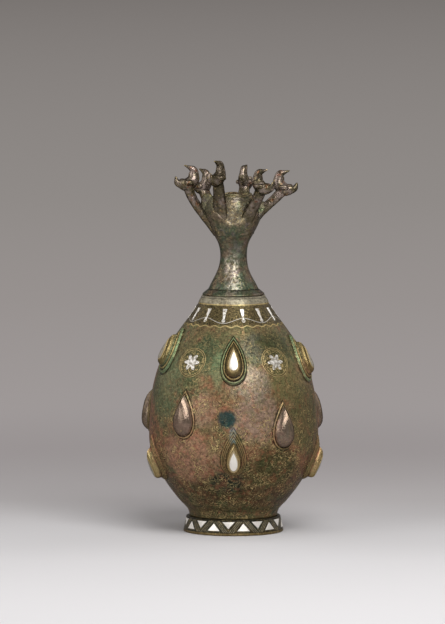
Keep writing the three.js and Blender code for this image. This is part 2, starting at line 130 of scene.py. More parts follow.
inlay_thickness, inlay_proud, inlay_margin = 0.8, 0.12, 0.14
rosettes, rosette_rise, rosette_radius, rosette_notch, rosette_petals = 5, 98.5, 5.6, 3, 6
darts, dart_rise, dart_length = 14, 130.3, 9.2
dart_head_width, dart_tip_width = 2.6, 0.7
triangle_pairs, triangle_turn = 10, 12
scroll_waves, scroll_height = 7, 133.6
up_triangle = {"width": 8.1, "base": 3, "tip": 7.7}
down_triangle = {"width": 7.6, "base": 8.6, "tip": 4.2}

arm_half_width, arm_half_depth, arm_root_spread = 3.2, 3.2, 1.75
arm_root_radius, arm_root_rise = 9.6, 38.2
arm_lower_handle, arm_upper_handle = (3.8, 11.8), (-6.3, -10.2)
arm_reach, bird_length = 29, 10.4
# Each bird: the angle at which its arm leaves the neck and how far it bows out; the angle of its perch,
# how far out that is, and how high above the rim; which way its tail points, and how far it leans back.
# The bow and reach are shares of the arm's reach, and the perch is one of the bird's length. The web is
# the rise of the edge of bronze between its arm and the next one round.
bird_keys = ("root", "bow", "angle", "reach", "perch", "facing", "lean", "web")
bird_rows = [
    (-92, 0.17, -82, 0.98, 0.5, -80, 8, 52),
    (-40, 0.03, -22, 0.92, 0.9, -38, 4, 43.6),
    (38, 0, 36, 1.02, 0.4, 60, 0, 48),
    (90, -0.06, 90, 1.07, 0.2, 90, 0, 47),
    (154, 0.03, 165, 0.97, 0.35, 160, 2, 47),
    (220, 0.05, 221, 1, 0.15, 226, 4, 49),
]
birds = [dict(zip(bird_keys, row)) for row in bird_rows]
# A bird from tail to beak, in shares of its length: outward and up from its perch, half width, half depth
bird_sections = [
    (0.82, 0.4, 0.15, 0.04), (0.68, 0.09, 0.25, 0.2), (0.42, 0.02, 0.34, 0.32), (0.06, 0, 0.39, 0.39),
    (-0.26, 0.32, 0.33, 0.37), (-0.25, 0.69, 0.23, 0.31), (-0.16, 0.93, 0.21, 0.24),
    (0.09, 1.04, 0.14, 0.12), (0.4, 1.13, 0.03, 0.03),
]
wing_rise = 0.14
wing_sections = [
    (-0.54, 0.14, 0.07), (-0.45, 0.27, 0.14), (0, 0.3, 0.16), (0.45, 0.27, 0.14), (0.54, 0.14, 0.07),
]

_, foot_height = heights("foot_ring")
body_bottom, spigot_top = heights("body_shell")
seat_height = spigot_top - spigot_height
neck_bottom, rim_height = heights("neck")
base_plate_bottom, base_plate_top = heights("base_plate")
strainer_low, _ = heights("strainer")
cup_height = neck_bottom + cup_rise

full_turn = 2 * math.pi
# The unevenness of hand work: waves' depth, their number round the axis, their climb and their shift
body_waves = [(0.1, 3, 0.06, 0), (0.07, 5, -0.11, 1.3)]
foot_waves = [(0.05, 4, 0, 1), (0.04, 9, 1, 0)]
neck_waves = [(0.07, 3, 0.2, 0), (0.06, 5, -0.33, 0)]


# Meshes

def mesh_object(name, points, faces):
    """A smooth object from points in millimetres."""
    mesh = bpy.data.meshes.new(name)
    mesh.from_pydata((np.asarray(points) * mm).tolist(), [], [list(f) for f in faces])
    mesh.shade_smooth()
    mesh.update()
    made = bpy.data.objects.new(name, mesh)
    bpy.context.scene.collection.objects.link(made)
    return made


def grid_faces(rows, columns, closed):
    """Four-sided faces between rows of a grid, which closes on itself along a row and, if closed,
    from the last row to the first."""
    i = np.arange(rows if closed else rows - 1)[:, None]
    j = np.arange(columns)[None, :]
    low, high = i * columns, (i + 1) % rows * columns
    after = (j + 1) % columns
    return np.stack([low + j, low + after, high + after, high + j], -1).reshape(-1, 4)


def skin(name, first, rings, last):
    """A closed object over rings of equally many points, each end closed by a fan to a middle point."""
    rings = np.asarray(rings)
    rows, columns, _ = rings.shape
    points = np.concatenate([rings.reshape(-1, 3), [first, last]])
    j = np.arange(columns)
    after = (j + 1) % columns
    bottom, top = len(points) - 2, len(points) - 1
    end = (rows - 1) * columns
    first_fan = np.stack([j * 0 + bottom, after, j], -1)
    last_fan = np.stack([j * 0 + top, end + j, end + after], -1)
    return mesh_object(name, points, [*grid_faces(rows, columns, closed=False), *first_fan, *last_fan])


def turns(steps):
    """Angles at equal steps round the axis, in radians."""
    return np.arange(steps) / steps * full_turn


def around(angle, radius, height):
    """Points at an angle, in radians, round the axis."""
    angle, radius, height = np.broadcast_arrays(angle, radius, height)
    return np.stack([np.sin(angle) * radius, -np.cos(angle) * radius, height], -1)


def normals_of(line):
    """Unit normals to the right of an open line of (radius, height) points."""
    along = np.gradient(line, axis=0)
    along /= np.linalg.norm(along, axis=1)[:, None]
    return np.stack([along[:, 1], -along[:, 0]], -1)


def turned(name, outline, segments, relief):
    """Turns a closed anticlockwise outline about the axis. relief(angle, radius, height) says how far
    each point moves out along the outline's normal."""
    outline = np.asarray(outline, float)
    angle = turns(segments)[None, :]
    radius, height = outline[:, :1], outline[:, 1:]
    normal = normals_of(np.concatenate([outline[-1:], outline, outline[:1]]))[1:-1]
    out = relief(angle, radius, height)
    points = around(angle, radius + normal[:, :1] * out, height + normal[:, 1:] * out)
    faces = grid_faces(len(outline), segments, closed=True)
    return mesh_object(name, points.reshape(-1, 3), faces)


def bezier(points, steps):
    """Points along a Bezier curve."""
    t = np.linspace(0, 1, steps + 1)[:, None]
    layers = [np.repeat(np.array([p], float), steps + 1, 0) for p in points]
    while len(layers) > 1:
        layers = [a * (1 - t) + b * t for a, b in zip(layers, layers[1:])]
    return layers[0]


def inset(line, distance):
    """Moves an open line to its left."""
    return line - normals_of(line) * distance


def smooth_through(rows, steps):
    """A Catmull-Rom curve through rows of numbers, with so many steps between two of them."""
    rows = np.array(rows, float)
    rows = np.concatenate([[2 * rows[0] - rows[1]], rows, [2 * rows[-1] - rows[-2]]])
    t = np.linspace(0, 1, steps, endpoint=False)[:, None]
    parts = []
    for a, b, c, d in zip(rows, rows[1:], rows[2:], rows[3:]):
        cubic = (3 * b - a - 3 * c + d) * t**3 + (2 * a - 5 * b + 4 * c - d) * t**2
        parts.append((cubic + (c - a) * t + 2 * b) / 2)
    return np.concatenate([*parts, rows[-2:-1]])


def smooth_step(low, high, value):
    t = np.clip((value - low) / (high - low), 0, 1)
    return t * t * (3 - 2 * t)


def bell(value, middle, width):
    """One at a middle, and little beyond a width or two from it."""
    return np.exp(-(((value - middle) / width) ** 2))


def waviness(angle, height, waves):
    return sum(
        depth * np.sin(number * angle + climb * height + shift) for depth, number, climb, shift in waves
    )


class Wall:
    """A turned surface, read by the distance along its outline."""

    def __init__(self, line):
        self.line = line
        self.normals = normals_of(line)
        steps = np.linalg.norm(np.diff(line, axis=0), axis=1)
        self.distances = np.concatenate([[0], np.cumsum(steps)])

    def read(self, values, distance):
        return np.stack([np.interp(distance, self.distances, v) for v in values.T], -1)

    def distance_at(self, height):
        return np.interp(height, self.line[:, 1], self.distances)

    def spot(self, angle, height):
        """A place on the wall: its points lie across and up from its middle, and out from it."""
        start = self.distance_at(height)

        def place(across, up, out):
            across, up, out = np.broadcast_arrays(across, up, out)
            point = self.read(self.line, start + up)
            normal = self.read(self.normals, start + up)
            turn = math.radians(angle) + across / point[..., 0]
            reached = point + normal * out[..., None]
            return around(turn, reached[..., 0], reached[..., 1])

        return place


def join(objects):
    """Joins objects into the first one."""
    with bpy.context.temp_override(active_object=objects[0], selected_editable_objects=objects):
        bpy.ops.object.join()
    return objects[0]


def apply_modifiers(target):
    """Puts a copy of the evaluated mesh in the place of an object's own."""
    evaluated = target.evaluated_get(bpy.context.evaluated_depsgraph_get())
    mesh = bpy.data.meshes.new_from_object(evaluated)
    target.modifiers.clear()
    target.data = mesh
    mesh.shade_smooth()


def combine(target, tools, operation):
    """Joins closed tools to an object or cuts them from it, and removes the tools."""
    tool = join(tools)
    modifier = target.modifiers.new("combine", "BOOLEAN")
    modifier.object = tool
    modifier.operation = operation
    modifier.solver = "MANIFOLD"
    apply_modifiers(target)
    bpy.data.objects.remove(tool)


# Body

def body_line(skirt_steps, lower_steps, upper_steps):
    """The body's outline from the foot up to the shoulder."""
    foot = (body_base_radius, body_bottom)
    skirt = (skirt_radius, body_bottom + skirt_rise)
    belly = (belly_radius, body_bottom + belly_rise)
    shoulder = (shoulder_radius, body_bottom + shoulder_rise)
    corner = (body_base_radius, (foot[1] + skirt[1]) / 2)
    skirt_out = (skirt[0] + skirt_handle[0], skirt[1] + skirt_handle[1])
    shoulder_out = (shoulder[0] + shoulder_handle[0], shoulder[1] - shoulder_handle[1])
    lower = [skirt, skirt_out, (belly[0], belly[1] - belly_lower_handle), belly]
    upper = [belly, (belly[0], belly[1] + belly_upper_handle), shoulder_out, shoulder]
    return np.concatenate([
        bezier([foot, corner, skirt], skirt_steps),
        bezier(lower, lower_steps)[1:],
        bezier(upper, upper_steps)[1:],
    ])


body_segments, foot_segments = 240, 420
body_surface = Wall(body_line(20, 80, 160))
drop_widest = 0.77  # the widest value of sin(a) sin(a / 2)
collar_low, collar_high, collar_swell = seat_height - 5.2, seat_height - 0.2, 0.32
collar_groove, collar_groove_width = 0.3, 0.45
foot_groove, foot_groove_width = 0.25, 0.5
foot_groove_height = body_bottom + 4.2
ripple_depth = 0.04


def body_relief(angle, radius, height):
    """The collar's soft swell, the grooves under it and over the foot, and the unevenness of hand work."""
    swell = np.sin(np.pi * np.clip((height - collar_low) / (collar_high - collar_low), 0, 1))
    grooves = collar_groove * bell(height, collar_low, collar_groove_width)
    grooves = grooves + foot_groove * bell(height, foot_groove_height, foot_groove_width)
    ripple = ripple_depth * np.sin(11 * angle + 0.31 * height) * np.sin(0.23 * height + 2 * angle)
    relief = collar_swell * swell - grooves + waviness(angle, height, body_waves) + ripple
    return np.where(radius > spigot_radius + 2, relief, 0)


def crest_up(row):
    return boss_half_length[row] * boss_crest


def drop_ring(row, share, steps, margin=0):
    """Across and up of a boss's outline, pointed at the top, at a share of its full width."""
    length = boss_half_length[row]
    above, below = drop_powers[row]
    a = turns(steps)
    half_width = boss_half_width * share + margin
    across = -half_width / drop_widest * np.sin(a) * np.sin(a / 2)
    reach = length * np.cos(a) - crest_up(row)
    stretch = np.where(reach > 0, share**above, share**below) + margin / length
    return across, crest_up(row) + reach * stretch


far_share = 1.3  # of a boss's outline, for points that lie off the boss
middle_tolerance = 0.001  # for points on a boss's middle line
boss_reach_across, boss_reach_up = 1.5 * boss_half_width, 22  # beyond which points lie off a boss


def drop_share_of(row, across, up):
    """The share of the outline that runs through each point, found by halving."""
    length = boss_half_length[row]
    above, below = drop_powers[row]
    low, high = np.full(across.shape, 0.001), np.full(across.shape, far_share)
    for _ in range(14):
        share = (low + high) / 2
        reach = (up - crest_up(row)) / np.where(up > crest_up(row), share**above, share**below)
        a = np.arccos(np.clip((reach + crest_up(row)) / length, -1, 1))
        width = boss_half_width * share / drop_widest * np.sin(a) * np.sin(a / 2)
        inside = np.abs(across) + middle_tolerance < width
        low, high = np.where(inside, low, share), np.where(inside, share, high)
    return high


relief_steps, relief_easing = 241, 5


def relief_at(row, share):
    """Height of a boss above the wall at a share of its outline, with the corners of its relief eased."""
    shares, rises = zip(*sorted(boss_relief[row]))
    steps = np.linspace(0, shares[-1], relief_steps)
    plain = np.interp(steps, shares, rises)
    weights = np.hanning(2 * relief_easing + 1)
    padded = np.concatenate([plain[relief_easing:0:-1], plain, np.full(relief_easing, plain[-1])])
    return boss_height * np.interp(share, steps, np.convolve(padded, weights / weights.sum(), "valid"))


# Shares of a boss's outline at which its rings of points run, and the number of points in a ring
ring_shares = np.concatenate([[1.14], np.linspace(1.08, 0.46, 30), np.linspace(0.4, 0.06, 6)])
boss_ring_points, drop_ring_points = 84, 72


def boss_solid(row, place):
    """One boss, rooted in the wall."""
    outlines = [drop_ring(row, share, boss_ring_points) for share in ring_shares]
    rings = [place(*outlines[0], -boss_sunk)]
    rings += [place(*line, relief_at(row, share)) for line, share in zip(outlines, ring_shares)]
    root = place(0, crest_up(row), -boss_sunk)
    return skin("boss", root, rings, place(0, crest_up(row), boss_height))


# Rings of a plate's upper face: share of its outline, and share of its rounded edge by which it lies low
plate_rings = [(1, 1), (0.985, 0.4), (0.95, 0)]
plate_rings += [(share, 0) for share in (0.86, 0.72, 0.56, 0.4, 0.24, 0.1)]
edge_round = 0.12
# Lowest and highest faces of a plate and of the tool that cuts its pocket, and the rounding of their edges
silver_faces = (inlay_proud - inlay_thickness, inlay_proud, edge_round)
pocket_faces = (inlay_proud - inlay_thickness - inlay_margin, 2.5, 0)


def inlaid(name, place, outline, middle, faces, lift=lambda share: 0):
    """A plate let into a surface. outline is (across, up) arrays and middle their centre, and
    lift(share) the height of the surface there."""
    across, up = outline
    bottom, top, rounding = faces
    rings = [place(across, up, lift(1) + bottom)]
    for share, low in plate_rings:
        inward = middle[0] + (across - middle[0]) * share, middle[1] + (up - middle[1]) * share
        rings.append(place(*inward, lift(share) + (top - rounding * low)))
    return skin(name, place(*middle, lift(1) + bottom), rings, place(*middle, lift(0) + top))


def mark_rim(plate):
    """Gives a plate's points their share of its outline, for its finish."""
    shares = [1, *[share for share, _ in plate_rings]]
    each = (len(plate.data.vertices) - 2) // len(shares)
    values = np.concatenate([np.repeat(shares, each), [1, 0]])
    plate.data.attributes.new("rim", "FLOAT", "POINT").data.foreach_set("value", values)


def rosette_ring(margin):
    a = turns(rosette_petals * 16)
    middle, depth = (rosette_radius + rosette_notch) / 2, (rosette_radius - rosette_notch) / 2
    radius = middle + depth * np.cos(rosette_petals * a) + margin
    return np.cos(a) * radius, np.sin(a) * radius


def along_edges(corners, steps):
    """Points along the edges of a polygon."""
    corners = np.array(corners, float)
    t = np.linspace(0, 1, steps, endpoint=False)[:, None]
    edges = [a * (1 - t) + b * t for a, b in zip(corners, np.roll(corners, -1, 0))]
    return np.concatenate(edges).T


def dart_ring(margin):
    head, tip = dart_head_width / 2 + margin, dart_tip_width / 2 + margin
    foot = -dart_length - margin
    return along_edges([(-head, margin), (-tip, foot), (tip, foot), (head, margin)], 8)


def triangle_ring(size, margin):
    height = size["tip"] - size["base"]
    half = size["width"] / 2
    scale = 1 + 3 * margin / min(half, abs(height))
    corners = [(-half, 0), (half, 0), (0, height)]
    corners = [(x * scale, height / 3 + (y - height / 3) * scale) for x, y in corners]
    return along_edges(corners if height > 0 else corners[::-1], 12)


silver_pieces = []


def add_inlay(name, node, *shape, **lifted):
    """A plate of silver that stands for a node, and the tool that cuts its pocket. The shape is its
    place on a surface, ring(margin) for its outline, and its middle."""
    place, ring, middle = shape
    silver = inlaid(name, place, ring(0), middle, silver_faces, **lifted)
    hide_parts(node)
    silver_pieces.append(silver)
    return inlaid("pocket", place, ring(inlay_margin), middle, pocket_faces, **lifted)


def unrolled(points):
    """Each point's angle, its distance along the body's outline, and the wall's radius there."""
    angle = np.arctan2(points[:, 0], -points[:, 1])
    profile = np.stack([np.hypot(points[:, 0], points[:, 1]), points[:, 2]], -1)
    nearest = np.concatenate([
        ((part[:, None] - body_surface.line[None]) ** 2).sum(-1).argmin(1)
        for part in np.array_split(profile, 5)
    ])
    away = profile - body_surface.line[nearest]
    normals = body_surface.normals[nearest]
    along = body_surface.distances[nearest] - away[:, 0] * normals[:, 1] + away[:, 1] * normals[:, 0]
    return angle, along, body_surface.line[nearest, 0]


def mark_body(body):
    """Gives the body's points the shares of the bosses' outlines that run through them, and their
    distances from the middles of the roundels, for its finish."""
    mesh = body.data
    points = np.empty(len(mesh.vertices) * 3)
    mesh.vertices.foreach_get("co", points)
    angle, along, wall_radius = unrolled(points.reshape(-1, 3) / mm)

    def local(turn, rise):
        """Across and up of every point, from a place on the wall."""
        off = (angle - math.radians(turn) + np.pi) % full_turn - np.pi
        return off * wall_radius, along - body_surface.distance_at(body_bottom + rise)

    marks = {}
    for row, places in bosses.items():
        marks[row] = np.full(len(angle), far_share)
        for turn, rise in places:
            across, up = local(turn, rise)
            near = (np.abs(across) < boss_reach_across) & (np.abs(up) < boss_reach_up)
            marks[row][near] = np.minimum(marks[row][near], drop_share_of(row, across[near], up[near]))
    middles = [local((i + 0.5) * 360 / rosettes, rosette_rise) for i in range(rosettes)]
    marks["roundel"] = np.min([np.hypot(across, up) for across, up in middles], axis=0)
    for name, values in marks.items():
        mesh.attributes.new(name, "FLOAT", "POINT").data.foreach_set("value", values)


def boss_pieces():
    """The bosses, and the tools for the pockets of those that hold a silver drop."""
    solids, cuts = [], []
    for row, places in bosses.items():
        for i, (angle, rise) in enumerate(places):
            place = body_surface.spot(angle, body_bottom + rise)
            solids.append(boss_solid(row, place))
            if row != "middle":
                end = f"drop_{row}_{i + 1}"
                cuts.append(add_inlay(
                    f"silver_{end}", f"boss_{end}", place,
                    lambda margin: drop_ring(row, drop_share, drop_ring_points, margin), (0, crest_up(row)),
                    lift=lambda share: relief_at(row, drop_share * share),
                ))
                mark_rim(silver_pieces[-1])
    return solids, cuts


def shoulder_pockets():
    """The tools for the pockets of the shoulder's rosettes and darts."""
    cuts = []
    for i in range(rosettes):
        place = body_surface.spot((i + 0.5) * 360 / rosettes, body_bottom + rosette_rise)
        end = f"rosette_{i + 1}"
        cuts.append(add_inlay(f"silver_{end}", f"roundel_{end}", place, rosette_ring, (0, 0)))
    for i in range(darts):
        place = body_surface.spot((i + 0.5) * 360 / darts, body_bottom + dart_rise)
        end = f"dart_{i + 1:02d}"
        cuts.append(add_inlay(f"silver_{end}", f"shoulder_{end}", place, dart_ring, (0, -dart_length / 2)))
    return cuts


def body_outline():
    """The closed outline of the hollow body with its spigot."""
    floor, ceiling = body_bottom + body_wall, seat_height - body_wall
    wall = inset(body_line(3, 12, 18), body_wall)
    inside = wall[(wall[:, 1] > floor + body_wall) & (wall[:, 1] < ceiling - body_wall)]
    return np.concatenate([
        [(fill_radius, body_bottom)],
        body_line(10, 44, 90),
        [(collar_radius, seat_height), (spigot_radius, seat_height), (spigot_radius, spigot_top)],
        [(spigot_bore, spigot_top), (spigot_bore, ceiling), (collar_radius - body_wall, ceiling)],
        inside[::-1],
        [(body_base_radius - body_wall, floor), (fill_radius, floor)],
    ])


def build_body():
    body = turned("bottle_body", body_outline(), body_segments, body_relief)
    solids, cuts = boss_pieces()
    cuts += shoulder_pockets()
    combine(body, solids, "UNION")
    combine(body, cuts, "DIFFERENCE")
    mark_body(body)
    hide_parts("body_shell")
    return body


# Foot ring and base plate

def build_foot():
    shelf = base_plate_bottom - gap
    inner = base_plate_radius
    lip = bezier([(foot_radius - foot_lip, 0), (foot_radius, 0), (foot_radius - foot_lean, foot_lip)], 6)
    top = bezier([
        (foot_top_radius + foot_lean, foot_height - foot_fillet),
        (foot_top_radius, foot_height),
        (foot_top_radius - foot_fillet, foot_height),
    ], 5)
    wall = bezier([lip[-1], top[0]], 30)[1:-1]
    outline = np.concatenate([
        [(foot_radius - foot_rim_width, 0)],
        lip,
        wall,
        top,
        [(inner + gap, foot_height), (inner + gap, shelf), (inner - shelf_width, shelf)],
        [(inner - shelf_width, shelf - shelf_thickness)],
        [(foot_top_radius - foot_rim_width, shelf - 2 * shelf_thickness)],
    ])

    def relief(angle, radius, height):
        out = waviness(angle, height, foot_waves) * smooth_step(0, 1.5, height)
        return np.where(radius > foot_top_radius - 0.7, out, 0)

    foot = turned("bottle_foot", outline, foot_segments, relief)
    surface = Wall(np.array([(foot_radius, 0), (foot_top_radius, foot_height)], float))
    cuts = []
    for i in range(triangle_pairs):
        for kind, size, half_turn in (("up", up_triangle, 0), ("down", down_triangle, 0.5)):
            angle = triangle_turn + (i + half_turn) * 360 / triangle_pairs
            place = surface.spot(angle, size["base"])
            middle = (0, (size["tip"] - size["base"]) / 3)
            end = f"triangle_{kind}_{i + 1:02d}"
            cuts.append(add_inlay(
                f"silver_{end}", f"foot_{end}", place, lambda margin: triangle_ring(size, margin), middle
            ))
    combine(foot, cuts, "DIFFERENCE")
    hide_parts("foot_ring")
    return foot


tool_ring_depth, tool_ring_pitch = 0.12, 1.9  # the pitch in radians to the millimetre


def build_base_plate():
    """A thin disc with the rings that its turning left."""
    low, high, edge = base_plate_bottom, base_plate_top, 0.2
    radii = np.linspace(0.8, base_plate_radius - edge, 60)
    fade = smooth_step(0, 3, base_plate_radius - radii)
    under = low + tool_ring_depth * (1 + np.cos(radii * tool_ring_pitch)) * fade
    outer = base_plate_radius
    rim = [(outer, low + edge), (outer, high - edge), (outer - edge, high)]
    rings = [around(turns(96), r, z) for r, z in [*zip(radii, under), *rim]]
    plate = skin("bottle_base_plate", (0, 0, under[0]), rings, (0, 0, high))
    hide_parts("base_plate")
    return plate


# Neck, cup and strainer

def neck_line(steps):
    foot = (neck_foot_radius, neck_bottom + flange_rise)
    waist = (waist_radius, neck_bottom + waist_rise)
    cup = (cup_radius, cup_height)
    foot_out = (foot[0] + neck_foot_handle[0], foot[1] + neck_foot_handle[1])
    lower = [foot, foot_out, (waist[0], waist[1] - waist_lower_handle), waist]
    cup_out = (cup[0] + cup_handle[0], cup[1] + cup_handle[1])
    upper = [waist, (waist[0], waist[1] + waist_upper_handle), cup_out, cup]
    corner = (cup[0] + cup_bulge[0], cup[1] + cup_bulge[1])
    flange = (flange_radius, neck_bottom + flange_edge)
    return np.concatenate([
        bezier([flange, foot], 8)[:-1],
        bezier(lower, steps),
        bezier(upper, steps)[1:],
        bezier([cup, corner, (rim_radius, rim_height - bead_height)], steps // 2)[1:],
    ])


arm_roots = np.radians([bird["root"] for bird in birds])
web_rises = np.array([bird["web"] for bird in birds], float)
# How far the webs' edge climbs beside an arm, over what width, and how steep it is
web_climb, web_climb_width, web_lip = 10, 5.6, 1.8
# Thickness of the webs at rises above the neck's underside
web_growth = [(33, 0), (38, 0.4), (42, 0.9), (46, 1.7), (50, 3.4), (54, 5.2), (60, 6.6)]
# The line cut under the rim: its depth, how far down it runs, and its half-width
rim_line_depth, rim_line_drop, rim_line_width = 0.25, 3, 0.4


def arm_distance(angle):
    """Distance round the cup from each angle to the nearest arm, in millimetres."""
    turn = np.abs((angle[..., None] - arm_roots + np.pi) % full_turn - np.pi)
    return turn.min(-1) * cup_radius


def web_edge(angle):
    """Height of the upper edge of the webs that join the arms' roots."""
    past = (angle - arm_roots[0]) % full_turn
    between = np.searchsorted(arm_roots - arm_roots[0], past, side="right") - 1
    return neck_bottom + web_rises[between] + web_climb * bell(arm_distance(angle), 0, web_climb_width)


def neck_relief(angle, radius, height):
    """The webs between the arms, a line cut under the rim, and the unevenness of hand work."""
    outside = (height >= neck_bottom + flange_rise) | (radius > flange_radius - flange_width)
    rises, growth = zip(*web_growth)
    edge = web_edge(np.broadcast_to(angle, np.broadcast_shapes(angle.shape, height.shape)))
    web = np.interp(height - neck_bottom, rises, growth) * smooth_step(web_lip, -web_lip, height - edge)
    line = rim_line_depth * bell(height, rim_height - rim_line_drop, rim_line_width)
    out = web + waviness(angle, height, neck_waves) - line
    return np.where(outside, out, 0)


# How far the rim sinks towards an arm, and over what width
rim_dip, rim_dip_width = 1.5, 4.5


def sink_rim(neck):
    """Arches the rim between the arms."""
    for vertex in neck.data.vertices:
        x, y, z = vertex.co / mm
        rise = smooth_step(rim_height - 9, rim_height, z)
        if rise > 0 and math.hypot(x, y) > rim_radius - rim_wall - 0.5:
            away = arm_distance(np.array(math.atan2(x, -y)))
            vertex.co.z -= rim_dip * rise * bell(away, 0, rim_dip_width) * mm


def neck_outline():
    """The neck's closed outline, and which of its points lie on the outside."""
    bore = rim_radius - rim_wall
    ledge = bore - strainer_ledge
    ledge_height = rim_height - strainer_depth
    over_spigot = spigot_top + gap
    line = neck_line(80)
    lining = inset(neck_line(20), neck_wall)
    passage = lining[(lining[:, 1] > over_spigot + neck_wall) & (lining[:, 1] < ledge_height - neck_wall)]
    bead = rim_radius + bead_width
    rim = bezier([line[-1], (bead + 0.2, rim_height - bead_height * 0.6), (bead, rim_height),
                  (rim_radius - 0.5, rim_height)], 8)
    socket = spigot_radius + gap
    outer = np.concatenate([[(socket, neck_bottom), (flange_radius, neck_bottom)], line, rim[1:]])
    inner = np.concatenate([
        [(bore + 0.2, rim_height), (bore, rim_height - 0.3), (bore, ledge_height), (ledge, ledge_height)],
        passage[::-1],
        [(spigot_bore, over_spigot), (socket, over_spigot)],
    ])
    outline = np.concatenate([outer, inner])
    is_outside = np.arange(len(outline)) < len(outer) - len(rim)
    is_outside[:2] = False
    return outline, is_outside


def build_neck():
    outline, is_outside = neck_outline()

    def relief(angle, radius, height):
        return neck_relief(angle, radius, height) * is_outside[:, None]

    neck = turned("bottle_neck", outline, body_segments, relief)
    sink_rim(neck)
    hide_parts("neck")
    return neck


def cap_line(radius, base, rise, steps):
    """A line over a spherical cap, from its edge to the axis."""
    sphere = (radius * radius + rise * rise) / (2 * rise)
    a = math.asin(radius / sphere) * np.linspace(1, 0, steps)
    return np.stack([sphere * np.sin(a), base + rise - sphere * (1 - np.cos(a))], -1)


def drill(length):
    """A tool for the strainer's holes, on the axis and with its middle at the origin."""
    rings = [around(turns(24), strainer_hole_radius, end) for end in (-length / 2, length / 2)]
    return skin("drill", (0, 0, -length / 2), rings, (0, 0, length / 2))


def build_strainer():
    low = strainer_low
    high = low + strainer_thickness
    edge = rim_radius - rim_wall - gap
    under = cap_line(dome_radius - strainer_thickness, low, dome_rise, 14)
    over = cap_line(dome_radius, high, dome_rise, 18)
    side = np.array([(edge, low), (edge, high - strainer_bevel), (edge - strainer_bevel, high)])
    line = np.concatenate([under[::-1][1:], side, over[:-1]])
    rings = [around(turns(120), r, z) for r, z in line]
    made = skin("bottle_strainer", (0, 0, low + dome_rise), rings, (0, 0, high + dome_rise))
    tools = []
    length = 4 * dome_rise
    for i in range(plate_holes):
        hole = drill(length)
        x, y, z = around(i / plate_holes * full_turn, plate_hole_ring, high)
        hole.data.transform(translation(x, y, z))
        tools.append(hole)
    for i in range(dome_holes + 1):
        hole = drill(length)
        hole.data.transform(translation(0, 0, length / 2))
        if i < dome_holes:
            hole.data.transform(rotation("X", dome_hole_tilt))
            hole.data.transform(rotation("Z", (i + 0.5) * 360 / dome_holes))
        hole.data.transform(translation(0, 0, low))
        tools.append(hole)
    combine(made, tools, "DIFFERENCE")
    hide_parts("strainer")
    return made


def translation(x, y, z):
    """A move in millimetres."""
    return Matrix.Translation((x * mm, y * mm, z * mm))


def rotation(axis, angle):
    return Matrix.Rotation(math.radians(angle), 4, axis)


# Birds on their arms

def swept(name, centres, half_widths, half_depths, sideways, square=1.0):
    """Sweeps an ellipse, squarer as square falls below one, along a line of centres."""
    sideways = np.asarray(sideways, float)
    along = np.gradient(centres, axis=0)
    outward = np.cross(along, sideways)
    outward /= np.linalg.norm(outward, axis=1)[:, None]
    a = turns(28)
    wide = np.sign(np.cos(a)) * np.abs(np.cos(a)) ** square
    deep = np.sign(np.sin(a)) * np.abs(np.sin(a)) ** square
    rings = (
        centres[:, None]
        + sideways * (half_widths[:, None] * wide)[..., None]
        + outward[:, None] * (half_depths[:, None] * deep)[..., None]
    )
    return skin(name, centres[0], rings, centres[-1])


def perch_of(bird):
    """A bird's perch: its angle in radians, its distance from the axis, and its height."""
    return math.radians(bird["angle"]), bird["reach"] * arm_reach, rim_height + bird["perch"] * bird_length


arm_steps, arm_thinning = 40, 0.1  # the thinning is a share of the depth, halfway along


def arm_solid(bird):
    root = math.radians(bird["root"])
    angle, reach, high = perch_of(bird)
    low, bow = neck_bottom + arm_root_rise, bird["bow"] * arm_reach
    centres = bezier([
        around(root, arm_root_radius, low),
        around(root, arm_root_radius + arm_lower_handle[0] + bow, low + arm_lower_handle[1]),
        around(angle, reach + arm_upper_handle[0] + bow, high + arm_upper_handle[1]),
        around(angle, reach, high),
    ], arm_steps)
    t = np.linspace(0, 1, arm_steps + 1)
    widths = arm_half_width * (1 + (arm_root_spread - 1) * (1 - t))
    depths = arm_half_depth * (1 - arm_thinning * np.sin(np.pi * t))
    sideways = around((root + angle) / 2 + np.pi / 2, 1, 0)
    return swept("arm", centres, widths, depths, sideways, square=0.85)


def bird_parts(bird):
    facing, lean = math.radians(bird["facing"]), math.radians(bird["lean"])
    feet = around(*perch_of(bird))
    outward, sideways = around(facing, 1, 0), around(facing + np.pi / 2, 1, 0)

    def place(out, up):
        """Points outward and up from the perch, leaned back about it."""
        leaned_out = out * np.cos(lean) - up * np.sin(lean)
        leaned_up = out * np.sin(lean) + up * np.cos(lean)
        return feet + np.multiply.outer(leaned_out, outward) + np.multiply.outer(leaned_up, (0, 0, 1))

    rows = smooth_through(bird_sections, 6) * bird_length
    body = swept("bird", place(rows[:, 0], rows[:, 1]), rows[:, 2], rows[:, 3], sideways)
    side, chord, thickness = np.array(wing_sections, float).T * bird_length
    middle = place(np.zeros(len(side)), np.full(len(side), wing_rise * bird_length))
    wings = swept("wings", middle + np.outer(side, sideways), chord, thickness, outward, square=0.6)
    return [body, wings]


finial_voxel = 0.3
cast_roughness = [(2.6, 0.14), (0.9, 0.04)]  # size of its features, and their height


def build_finial(i, bird):
    """An arm with its bird, fused and slightly rough as cast."""
    made = join([arm_solid(bird), *bird_parts(bird)])
    made.name = f"bird_on_arm_{i + 1}"
    remesh = made.modifiers.new("fuse", "REMESH")
    remesh.mode = "VOXEL"
    remesh.voxel_size = finial_voxel * mm
    ease = made.modifiers.new("ease", "SMOOTH")
    ease.factor, ease.iterations = 0.5, 2
    apply_modifiers(made)
    mesh = made.data
    for vertex, normal in zip(mesh.vertices, [n.vector.copy() for n in mesh.vertex_normals]):
        rough = sum(noise.noise(vertex.co / (size * mm)) * depth for size, depth in cast_roughness)
        vertex.co += normal * rough * mm
    mesh.shade_smooth()
    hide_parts(f"bird_finial_{i + 1}")
    return made


# Shading

